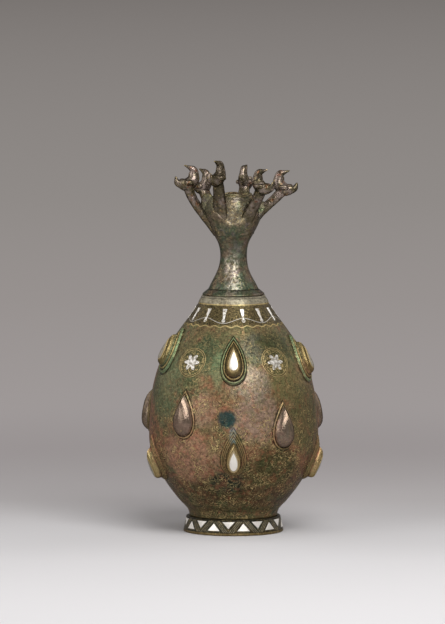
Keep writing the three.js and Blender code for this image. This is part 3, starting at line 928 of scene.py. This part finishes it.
class Signal:
    """A number, vector or colour in a material, on which arithmetic adds nodes."""

    def __init__(self, tree, socket):
        self.tree, self.socket = tree, socket

    def math(self, operation, *others):
        node = add_node(self.tree, "Math")
        node.operation = operation
        for pin, value in zip(node.inputs, (self, *others)):
            feed(self.tree, pin, value)
        return Signal(self.tree, node.outputs[0])

    def __add__(self, other):
        return self.math("ADD", other)

    def __sub__(self, other):
        return self.math("SUBTRACT", other)

    def __rsub__(self, other):
        return (self * -1) + other

    def __mul__(self, other):
        return self.math("MULTIPLY", other)

    def __truediv__(self, other):
        return self.math("DIVIDE", other)

    __radd__ = __add__
    __rmul__ = __mul__

    def capped(self):
        return self.math("MINIMUM", 1.0)

    def step(self, low, high):
        """Nought below low and one above high, with a soft passage between; high may be the lower."""
        node = add_node(
            self.tree, "MapRange", value=self, from_min=min(low, high), from_max=max(low, high),
            to_min=float(low > high), to_max=float(low < high),
        )
        node.interpolation_type = "SMOOTHSTEP"
        return Signal(self.tree, node.outputs["Result"])

    def near(self, value, width):
        """One where the signal is near a value, and nought beyond a width from it."""
        return (self - value).math("ABSOLUTE").step(width, width * 0.4)

    def between(self, low, high, soft):
        """One between two values, each of which is passed within a soft distance."""
        return self.step(low - soft, low + soft) * self.step(high + soft, high - soft)


def hypotenuse(a, b):
    return (a * a + b * b).math("SQRT")


def feed(tree, pin, value):
    if isinstance(value, Signal):
        tree.links.new(value.socket, pin)
    elif isinstance(value, tuple) and len(value) == 3 and pin.type == "RGBA":
        pin.default_value = (*value, 1)
    else:
        pin.default_value = value


def feed_inputs(tree, node, **values):
    """Feeds a node's inputs, named in lower case with underscores for spaces."""
    for name, value in values.items():
        feed(tree, node.inputs[name.replace("_", " ").title()], value)


def add_node(tree, kind, **values):
    node = tree.nodes.new("ShaderNode" + kind)
    feed_inputs(tree, node, **values)
    return node


def srgb(red, green, blue):
    """A colour as the photograph's 0 to 255 values give it, made linear."""
    scaled = [v / 255 for v in (red, green, blue)]
    return tuple(v / 12.92 if v <= 0.04045 else ((v + 0.055) / 1.055) ** 2.4 for v in scaled)


class Paint:
    """A material under construction, whose tones have the photograph's 0 to 255 values."""

    def __init__(self, name):
        self.material = bpy.data.materials.new(name)
        self.material.use_nodes = True
        self.tree = self.material.node_tree
        self.shader = self.tree.nodes["Principled BSDF"]
        origin = Signal(self.tree, add_node(self.tree, "TexCoord").outputs["Object"])
        self.position = self.vector("SCALE", origin, scale=1 / mm)
        parts = add_node(self.tree, "SeparateXYZ", vector=self.position)
        self.x, self.y, self.z = (Signal(self.tree, parts.outputs[k]) for k in range(3))

    def vector(self, operation, *values, output="Vector", **named):
        """A vector calculation."""
        node = add_node(self.tree, "VectorMath")
        node.operation = operation
        feed_inputs(self.tree, node, **named)
        for pin, value in zip(node.inputs, values):
            feed(self.tree, pin, value)
        return Signal(self.tree, node.outputs[output])

    def turn(self):
        """The angle round the axis, in radians."""
        return self.x.math("ARCTAN2", self.y * -1)

    def noise(self, size, detail=3, roughness=0.55, distortion=0.0, shift=0.0):
        """Noise whose features are about size millimetres across, from nought to one."""
        moved = self.vector("ADD", self.position, (shift, shift * 0.7, -shift))
        node = add_node(
            self.tree, "TexNoise", vector=moved, scale=1 / size, detail=detail, roughness=roughness,
            distortion=distortion,
        )
        return Signal(self.tree, node.outputs["Fac"])

    def patch(self, centre, radii):
        """One in the middle of a ragged soft ellipsoid, nought outside it."""
        off = self.vector("DIVIDE", self.vector("SUBTRACT", self.position, centre), radii)
        return (self.vector("LENGTH", off, output="Value") + self.ragged).step(1.65, 1.15)

    def attribute(self, name):
        node = add_node(self.tree, "Attribute")
        node.attribute_name = name
        return Signal(self.tree, node.outputs["Fac"])

    def mix(self, factor, a, b):
        node = add_node(self.tree, "Mix")
        node.data_type = "RGBA"
        for pin, value in ((0, factor), (6, a), (7, b)):
            feed(self.tree, node.inputs[pin], value)
        return Signal(self.tree, node.outputs[2])

    def start(self, size, low, high, a, b, strength=1.0, roughness=0.55):
        """Makes the colour from two tones, the second where noise rises from low to high."""
        factor = self.noise(size, detail=4, roughness=roughness).step(low, high) * strength
        self.colour = self.mix(factor, srgb(*a), srgb(*b))

    def lay(self, mask, tone):
        """Lays a tone over the colour where a mask is one."""
        self.colour = self.mix(mask, self.colour, srgb(*tone))

    def blotch(self, size, shift, low, high, strength, tone, detail=3, roughness=0.55):
        """Lays a tone over the colour where noise rises from low to high."""
        self.lay(self.noise(size, detail, roughness, shift=shift).step(low, high) * strength, tone)

    def bump(self, height, distance):
        """Raises the surface by a signal times a distance in millimetres."""
        node = add_node(self.tree, "Bump", strength=1, distance=distance * mm, height=height)
        return Signal(self.tree, node.outputs["Normal"])

    def finish(self, **sockets):
        feed_inputs(self.tree, self.shader, base_color=self.colour, **sockets)
        return self.material


olive, dark_olive, moss = (92, 92, 64), (60, 60, 38), (66, 84, 56)
light_green, verdigris = (112, 134, 98), (34, 70, 70)
red_brown, brown, umber, dark = (142, 96, 74), (116, 98, 72), (70, 56, 39), (18, 16, 12)
gold, dull_gold, grey, silver_tone = (196, 174, 122), (144, 124, 78), (80, 82, 70), (236, 232, 224)

# Patches of the patina, and a painted highlight on the belly: middle, radii, tone, strength
body_patches = [
    ((-28, -41, 50), (22, 18, 18), (152, 116, 95), 0.85),
    ((-24, -46, 80), (16, 14, 12), (148, 120, 100), 0.75),
    # The next two patches are pale where the key light's highlight falls: the first is pink-brown patina
    # partly lightened as a painted highlight, the second is a painted highlight.
    ((14, -50, 76), (16, 12, 17), (141, 118, 103), 0.8),
    ((11, -48, 97), (15, 12, 13), (126, 115, 102), 0.75),
    ((15, -38, 118), (13, 12, 12), grey, 0.8),
    ((-16, -37, 112), (11, 12, 14), (72, 86, 62), 0.75),
    ((-9, -43, 104), (5, 8, 15), light_green, 0.55),
    ((30, -32, 120), (16, 14, 11), (64, 66, 44), 1),
    ((-44, -16, 112), (12, 16, 12), (70, 78, 56), 0.7),
    ((-27, -40, 92), (9, 10, 10), (58, 76, 50), 0.7),
    ((-42, -26, 92), (15, 20, 24), (98, 110, 82), 0.8),
    ((33, -36, 98), (14, 14, 16), (106, 100, 64), 0.7),
    ((44, -24, 74), (14, 22, 24), (88, 84, 54), 0.8),
    ((26, -42, 44), (22, 16, 16), (58, 58, 34), 0.85),
    ((-6, -38, 31), (22, 16, 10), (52, 44, 28), 0.6),
    ((-4, -42, 36), (11, 10, 9), (26, 44, 40), 0.85),
    ((-0.5, -52, 64), (2.4, 6, 6), (120, 142, 142), 0.8),
    ((-34, 36, 70), (20, 18, 22), (138, 98, 74), 0.75),
    ((30, 40, 96), (18, 16, 20), moss, 0.75),
    ((10, 50, 48), (9, 9, 9), verdigris, 0.9),
    ((-6, 44, 108), (14, 12, 14), grey, 0.7),
]
teal_patch = (-4.5, -52.5, 75), (6.5, 9, 6)
glossy_patches = [((14, -48, 92), (17, 12, 15)), ((-42, -26, 94), (15, 20, 24))]
# Shares of a boss's outline at which its grooves run
row_grooves = {"upper": (1.03, 0.8, 0.645), "middle": (1.03, 0.88), "lower": (1.03, 0.86, 0.745, 0.63)}
roundel_radius = 9
band_low, band_high, band_waves = 130.8, 142.2, 28
collar_line = 146.4
neck_line_height = 151.5
scroll_swing, scroll_ring = 1.5, 0.9
# The foot's zigzag: a point on the middle of one of its strokes, and the stroke's slope
zigzag_along, zigzag_height, zigzag_slope = 4.86, 5.9, 1.158
foot_low_line, foot_high_line = 1.9, 9.3


def scrollwork(paint, size, shift=0.0, width=0.2):
    """Fine curling lines, as worn engraving has, one on a line and nought between."""
    field = paint.noise(size, detail=1, distortion=1.4, shift=shift)
    return (field * 5).math("FRACT").near(0.5, width)


def weathered(paint, height, gilt, polish=0.0, metal=0.45, rough=0.36, grain=1.0, wear=0.3):
    """Finishes a bronze with grain, pits and glints, painted shade in its hollows, and worn edges."""
    plain = 1 - (polish * 0.8)
    grains = paint.noise(1.7, detail=4, roughness=0.75, shift=31)
    pits = paint.noise(1.5, detail=2, roughness=0.65, shift=47).step(0.44, 0.34) * plain
    wear_and_highlight = paint.noise(12, shift=61).step(0.4, 0.62) * 0.7 + 0.3
    glints = paint.noise(1.2, detail=1, shift=7).step(0.57, 0.7) * plain * wear_and_highlight
    pointed = Signal(paint.tree, add_node(paint.tree, "NewGeometry").outputs["Pointiness"])
    mottle = (grains.step(0.3, 0.72) * 1.2 - 0.55) * grain
    paint.colour = paint.vector("SCALE", paint.colour, scale=mottle * (1 - polish * 0.45) + 1)
    paint.lay(pits * (0.6 * grain), dark)
    # Painted shade: near-black laid in the hollows, where the surface curves inward.
    paint.lay(pointed.step(0.485, 0.44) * 0.85, dark)
    gilt = (pointed.step(0.52, 0.57) * wear + gilt + glints * (0.4 * grain)).capped()
    paint.lay(gilt, gold)
    paint.shader.inputs["Specular IOR Level"].default_value = 0.3
    paint.shader.inputs["Specular Tint"].default_value = (0.05, 0.05, 0.04, 1)
    return paint.finish(
        metallic=(gilt + polish * 0.6).capped() * (0.9 - metal) + metal,
        roughness=paint.noise(5, shift=3) * 0.2 + (rough - 0.1) - (polish * 0.2),
        normal=paint.bump(grains * grain + height - pits * 0.6, 0.18),
    )


def lay_patina_and_highlight(paint):
    """The body's patinas, one over another, with a painted highlight on the belly."""
    z = paint.z
    paint.ragged = paint.noise(7, detail=4, roughness=0.65, shift=19)
    paint.start(24, 0.43, 0.6, brown, red_brown, roughness=0.6)
    paint.lay(z.step(60, 24) * 0.9, umber)
    paint.lay(z.step(86, 118) * 0.75, olive)
    paint.lay(z.step(23, 16) * 0.7, (96, 90, 64))
    coarse = {"detail": 4, "roughness": 0.7}
    paint.blotch(9, 13, 0.5, 0.62, 0.65, moss, **coarse)
    paint.blotch(5, 91, 0.54, 0.66, 0.5, red_brown, **coarse)
    paint.blotch(6, 57, 0.54, 0.7, 0.6, umber, **coarse)
    paint.blotch(2.6, 71, 0.64, 0.74, 0.6, verdigris, detail=2)
    for centre, radii, tone, strength in body_patches:
        paint.lay(paint.patch(centre, radii) * strength, tone)
    reddened = z.step(112, 84) * paint.x.step(-48, -34)
    paint.blotch(3.6, 113, 0.52, 0.6, 0.35, (84, 92, 60), **coarse)
    paint.blotch(4.4, 127, 0.52, 0.6, reddened * 0.32, (150, 88, 66), **coarse)
    paint.blotch(2.6, 139, 0.52, 0.6, 0.3, umber, **coarse)


def finish_bosses(paint, gilt, height, polish):
    """Lays the grooves, ridges and crests of the bosses."""
    for row, grooves in row_grooves.items():
        share = paint.attribute(row)
        off_boss = 1 - share.step(1.02, 0.98) * 0.8
        gilt, height = gilt * off_boss, height * off_boss
        if row == "upper":
            paint.lay(share.near(0.92, 0.09) * 0.65, light_green)
            paint.lay(share.near(0.71, 0.06) * 0.7, dull_gold)
            paint.lay(share.step(0.59, 0.55) * 0.75, (108, 92, 58))
        elif row == "middle":
            paint.lay(share.step(0.86, 0.8) * 0.8, (114, 101, 90))
            gilt = gilt + share.near(0.95, 0.05) * 0.2
        else:
            ridges = share.near(0.92, 0.05) + share.near(0.8, 0.05) + share.near(0.68, 0.045)
            paint.lay(ridges * 0.35, dull_gold)
            gilt = gilt + share.step(0.57, 0.53) * 0.45 + ridges * 0.1
        polish = polish + (share.step(0.88, 0.8) if row == "middle" else share.step(0.6, 0.5) * 0.7)
        for groove in grooves:
            paint.lay(share.near(groove, 0.05) * (0.6 if row == "lower" else 0.85), dark)
    return gilt, height, polish


def finish_roundels(paint, gilt, height):
    """Lays each roundel's dark ground and raises the ring round it."""
    away = paint.attribute("roundel")
    ground = away.step(8.4, 8)
    paint.lay(ground * 0.5, dark_olive)
    paint.lay(away.near(roundel_radius, 0.5) * 0.7, dark)
    ring = away.near(roundel_radius + 0.5, 0.32) + away.near(roundel_radius - 0.5, 0.3)
    specks = paint.noise(0.9, detail=1, shift=101).step(0.55, 0.62)
    return gilt + ring * 0.6 + ground * specks * 0.6, height + ring * 0.8


def finish_band(paint, gilt):
    """Lays the shoulder's engraved band between its lines, and the pale collar over it."""
    z = paint.z
    band = z.between(band_low, band_high, 0.2)
    paint.lay(band * 0.85, (44, 39, 26))
    gilt = gilt * (1 - band * 0.8) + band * scrollwork(paint, 2.2, shift=5, width=0.24) * 0.28
    wavy = z - (paint.turn() * band_waves).math("SINE") * 0.5
    gilt = gilt + (wavy.near(band_low - 0.6, 0.4) + z.near(band_high + 0.7, 0.35)) * 0.7
    collar = z.between(band_high + 1, 2 * band_high, 0.3)
    paint.lay(collar * 0.8, (146, 140, 122))
    paint.lay(z.near(collar_line, 0.3) * 0.6, dark)
    return gilt * (1 - collar * 0.7)


def scroll_mask(paint, worn):
    """One on the scroll, which is a running wave with a ring in each bend, and nought beside it."""
    phase = paint.turn() * scroll_waves
    wave = (paint.z - phase.math("SINE") * scroll_swing).near(scroll_height, 0.22)
    bend = (phase / math.pi).math("FRACT") - 0.5
    across = bend * (math.pi / scroll_waves) * hypotenuse(paint.x, paint.y)
    rings = hypotenuse(across, paint.z - scroll_height).near(scroll_ring, 0.26)
    return (wave * (worn * 0.5 + 0.5) + rings).capped()


def body_finish():
    """The body's patinas with a painted highlight on the belly, the lines of its bosses and roundels, and
    its engraved shoulder band.
    """
    paint = Paint("patinated_bronze")
    lay_patina_and_highlight(paint)
    teal = paint.patch(*teal_patch)
    paint.lay(teal * 0.9, verdigris)
    lines = scrollwork(paint, 4.2)
    worn = paint.noise(7, shift=83).step(0.36, 0.62) * (paint.z.step(104, 64) * 0.65 + 0.35)
    gilt = scrollwork(paint, 4.2, shift=0.35, width=0.15) * worn * 0.8
    paint.lay(lines * worn * 0.6, dark)
    polish = teal * 0.6
    for patch in glossy_patches:
        polish = polish + paint.patch(*patch) * 0.3
    gilt, height, polish = finish_bosses(paint, gilt * (1 - polish), lines * worn * -0.8, polish)
    gilt, height = finish_roundels(paint, gilt, height)
    gilt = finish_band(paint, gilt)
    scroll = scroll_mask(paint, worn)
    material = weathered(paint, height + scroll * 0.6, gilt, polish.capped(), grain=0.75)
    inlay_over(paint, scroll)
    return material


def inlay_over(paint, mask):
    """Lays silver over a finish where a mask is one."""
    for name, value in (("Base Color", srgb(*silver_tone)), ("Metallic", 0.85), ("Roughness", 0.34)):
        socket = paint.shader.inputs[name]
        below = Signal(paint.tree, socket.links[0].from_socket)
        if name == "Base Color":
            laid = paint.mix(mask, below, value)
        else:
            laid = below * (1 - mask) + mask * value
        feed(paint.tree, socket, laid)


def foot_finish():
    """The foot's zigzag of engraved bands between the silver triangles."""
    paint = Paint("foot_bronze")
    z = paint.z
    period = math.radians(360 / triangle_pairs)
    phase = ((paint.turn() - math.radians(triangle_turn) + period / 2) / period).math("FRACT") - 0.5
    along = phase.math("ABSOLUTE") * (period * foot_radius)
    off = (z - zigzag_height + (along - zigzag_along) * zigzag_slope) / math.hypot(1, zigzag_slope)
    paint.start(9, 0.42, 0.6, (52, 53, 42), (62, 54, 39))
    paint.blotch(3, 9, 0.5, 0.7, 0.5, grey)
    paint.lay(off.near(0, 1.9) * 0.8, (54, 49, 38))
    lines = off.near(-0.95, 0.32) + off.near(0, 0.28) + off.near(0.95, 0.32)
    lines = lines * z.between(1.8, foot_high_line, 0.2)
    paint.lay(lines * 0.7, (134, 126, 104))
    paint.lay(z.near(foot_high_line, 0.45) * 0.8, dark)
    paint.lay(z.near(foot_low_line, 0.35) * 0.7, dark)
    lip = z.step(foot_low_line, 1.5)
    paint.lay(lip * 0.7, (96, 78, 48))
    return weathered(paint, lines * 0.6, lip * 0.12, grain=0.8)


def neck_finish():
    """The neck, grey green below and browner among the arms, with painted highlights down the front of its
    flare and on the front of its cup.
    """
    paint = Paint("neck_bronze")
    x, y, z = paint.x, paint.y, paint.z
    paint.start(9, 0.4, 0.62, (80, 89, 72), (106, 92, 76), roughness=0.6)
    # Painted highlight: a pale speckled streak down the front of the neck's lower flare.
    wear_and_highlight = x.near(-1, 6) * y.step(0, -6) * z.step(178, 168) * z.step(146, 153)
    paint.blotch(2.2, 27, 0.36, 0.6, wear_and_highlight * 0.55, (186, 178, 162))
    paint.lay(z.step(184, 196) * 0.5, (116, 104, 84))
    paint.blotch(5, 21, 0.52, 0.68, 0.5, (112, 100, 100))
    paint.blotch(4, 43, 0.54, 0.68, 0.5, moss)
    # Painted highlight: a pale speckled patch on the front of the cup.
    cup = y.step(-8, -11) * (x - 1).math("ABSOLUTE").step(8.5, 4) * z.step(191, 195) * z.step(208, 203)
    paint.blotch(2.6, 33, 0.42, 0.6, cup * 0.4, (164, 160, 140))
    paint.lay(z.near(neck_line_height, 0.5) * 0.7, dark)
    # Painted sparkle: gold specks in the cup's painted highlight; below, gold worn under the rim.
    gilt = cup * paint.noise(1.5, detail=2, shift=73).step(0.52, 0.62) * 0.4
    gilt = gilt + z.near(rim_height - 1.2, 1.2) * paint.noise(3, shift=5).step(0.4, 0.6) * 0.25
    height = scrollwork(paint, 3.6, shift=11) * -0.3
    return weathered(paint, height, gilt, metal=0.65, rough=0.28, grain=0.7, wear=0.05)


def arm_finish():
    """The arms and birds: glossy brown and pinkish grey, with painted shade in the hollows and worn crests.
    """
    paint = Paint("arm_bronze")
    paint.start(6, 0.4, 0.62, (92, 84, 66), (136, 122, 114), roughness=0.6)
    paint.blotch(4, 17, 0.57, 0.68, 0.6, (124, 76, 50))
    paint.blotch(3.5, 29, 0.5, 0.64, 0.7, (46, 44, 32))
    paint.lay(paint.z.step(208, 196) * 0.7, (104, 96, 76))
    shaded = paint.x.near(-9, 8) * paint.y.step(-14, -19) * paint.z.step(206, 210)
    paint.lay(shaded * 0.5, (70, 64, 48))
    return weathered(paint, 0.0, 0.0, metal=0.8, rough=0.24, grain=0.4, wear=0.5)


def dark_finish():
    """The strainer and the base plate, dark and little worn."""
    paint = Paint("dark_bronze")
    paint.start(8, 0.42, 0.6, (72, 60, 42), (92, 76, 54))
    return weathered(paint, paint.noise(3, shift=9) * 0.5, 0.0)


def silver_finish():
    """Hammered sheet silver, a little tarnished in front and dull on the flanks and the back."""
    paint = Paint("silver_inlay")
    z = paint.z
    paint.start(3, 0.56, 0.8, silver_tone, (160, 150, 130), strength=0.45, roughness=0.7)
    paint.blotch(0.7, 4, 0.66, 0.76, 0.4, (96, 88, 76), detail=2)
    paint.lay(paint.y.step(-34, -26) * z.between(20, 126, 2) * 0.85, (104, 96, 72))
    side = paint.x.math("ABSOLUTE").step(12, 16) * z.between(102, 122, 2)
    paint.blotch(1.5, 8, 0.42, 0.58, side * 0.75, (112, 102, 80))
    paint.blotch(1.8, 15, 0.48, 0.62, z.step(128, 130) * 0.85, (104, 92, 64))
    paint.lay(paint.attribute("rim").step(0.76, 0.82) * 0.85, (158, 136, 86))
    rough = paint.noise(2, shift=9) * 0.2 + 0.28
    return paint.finish(metallic=0.7, roughness=rough, normal=paint.bump(paint.noise(1.6, detail=2), 0.05))


# Assembly

body = build_body()
foot = build_foot()
plate = build_base_plate()
neck = build_neck()
strainer = build_strainer()
finials = [build_finial(i, bird) for i, bird in enumerate(birds)]

arm_bronze, dark_bronze, silver = arm_finish(), dark_finish(), silver_finish()
for made, material, slot in [
    (body, body_finish(), "patinated_bronze"),
    (foot, foot_finish(), "patinated_bronze"),
    (neck, neck_finish(), "patinated_bronze"),
    (plate, dark_bronze, "dark_bronze"),
    (strainer, dark_bronze, "dark_bronze"),
    *[(finial, arm_bronze, "dark_bronze") for finial in finials],
    *[(piece, silver, "silver_inlay") for piece in silver_pieces],
]:
    made.data.materials.clear()
    made.data.materials.append(material)
    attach(made, "root")


# Floor, lights and camera

floor_half_width = 30000
lit_radius, glow_radius = 250, 900  # the floor is lit within the one and glows beyond the other
# The tones are a painted falloff of the studio light, pale in front and grey far behind; beyond the glow
# radius the floor glows with them.
# The stretch of the floor along y that has the tones, and each tone by its place along y
floor_start, floor_depth = -1000, 12000
floor_tones = [
    (-440, (216, 214, 215)), (-150, (213, 211, 212)), (0, (204, 202, 203)), (170, (184, 180, 180)),
    (475, (168, 162, 162)), (850, (158, 152, 151)), (1800, (151, 145, 143)), (3200, (143, 138, 135)),
    (10000, (122, 117, 114)),
]
wall_tone, wall_light = (156, 151, 149), 0.34
camera_lens, sensor_width = 362.9, 36
camera_eye, camera_target = (-6.8, -3900, 459.5), (-6.8, 0, 136.8)
lamp_target = (0, 0, 110)
# Each lamp: azimuth, elevation, distance and size in metres, power in watts
lamps = {
    "key": (20, 40, 1.5, 1.0, 22),
    "fill": (-55, 22, 1.8, 1.0, 8.5),
    "top": (0, 85, 1.6, 1.0, 4),
    "left_kicker": (-120, 24, 1.8, 1.2, 5),
    "right_kicker": (125, 24, 1.8, 1.2, 5),
}


def seen_rays(tree):
    """One for rays from the camera, mirrors and glass, and nought for those that light things."""
    path = add_node(tree, "LightPath")
    camera, glossy, clear = (
        Signal(tree, path.outputs[f"Is {kind} Ray"]) for kind in ("Camera", "Glossy", "Transmission")
    )
    return camera.math("MAXIMUM", glossy).math("MAXIMUM", clear)


def build_floor():
    """A pale floor with a painted falloff of light that darkens it to grey behind the bottle."""
    corners = np.array([(-1, -1, 0), (1, -1, 0), (1, 1, 0), (-1, 1, 0)])
    floor = mesh_object("floor", corners * floor_half_width, [(0, 1, 2, 3)])
    paint = Paint("floor")
    tree = paint.tree
    ramp = add_node(tree, "ValToRGB", fac=(paint.y - floor_start) / floor_depth)
    elements = ramp.color_ramp.elements
    for _ in floor_tones[len(elements):]:
        elements.new(0.5)
    for element, (place, tone) in zip(elements, floor_tones):
        element.position = (place - floor_start) / floor_depth
        element.color = (*srgb(*tone), 1)
    tree.nodes.remove(paint.shader)
    colour = Signal(tree, ramp.outputs["Color"])
    diffuse, glow = add_node(tree, "BsdfDiffuse", color=colour), add_node(tree, "Emission", color=colour)
    away = hypotenuse(paint.x, paint.y).step(lit_radius, glow_radius)
    blend = add_node(tree, "MixShader", fac=away * seen_rays(tree))
    tree.links.new(diffuse.outputs[0], blend.inputs[1])
    tree.links.new(glow.outputs[0], blend.inputs[2])
    tree.links.new(blend.outputs[0], tree.nodes["Material Output"].inputs["Surface"])
    floor.data.materials.append(paint.material)


def add_holder(name, data, place, target):
    """An object that holds a lamp or camera at a place and turns it to a target, both in metres."""
    holder = bpy.data.objects.new(name, data)
    bpy.context.scene.collection.objects.link(holder)
    holder.location = place
    holder.rotation_euler = (target - place).to_track_quat("-Z", "Y").to_euler()
    return holder


def add_lamp(name, azimuth, elevation, distance, size, power):
    """A soft square lamp that faces the bottle."""
    lamp = bpy.data.lights.new(name, "AREA")
    lamp.size, lamp.energy = size, power
    a, e = math.radians(azimuth), math.radians(elevation)
    direction = Vector((math.sin(a) * math.cos(e), -math.cos(a) * math.cos(e), math.sin(e)))
    target = Vector(lamp_target) * mm
    add_holder(name, lamp, target + direction * distance, target).visible_camera = False


def set_world():
    """A plain backdrop colour, which lights things with only a share of its brightness."""
    world = bpy.data.worlds.new("studio")
    bpy.context.scene.world = world
    world.use_nodes = True
    tree = world.node_tree
    strength = seen_rays(tree) * (1 - wall_light) + wall_light
    feed_inputs(tree, tree.nodes["Background"], color=srgb(*wall_tone), strength=strength)


def add_camera():
    camera = bpy.data.cameras.new("camera")
    camera.lens, camera.sensor_width = camera_lens, sensor_width
    camera.clip_start, camera.clip_end = 0.1, 100
    eye, target = Vector(camera_eye) * mm, Vector(camera_target) * mm
    bpy.context.scene.camera = add_holder("camera", camera, eye, target)


build_floor()
for name, values in lamps.items():
    add_lamp(name, *values)
set_world()
add_camera()
bpy.context.scene.view_settings.view_transform = "Standard"
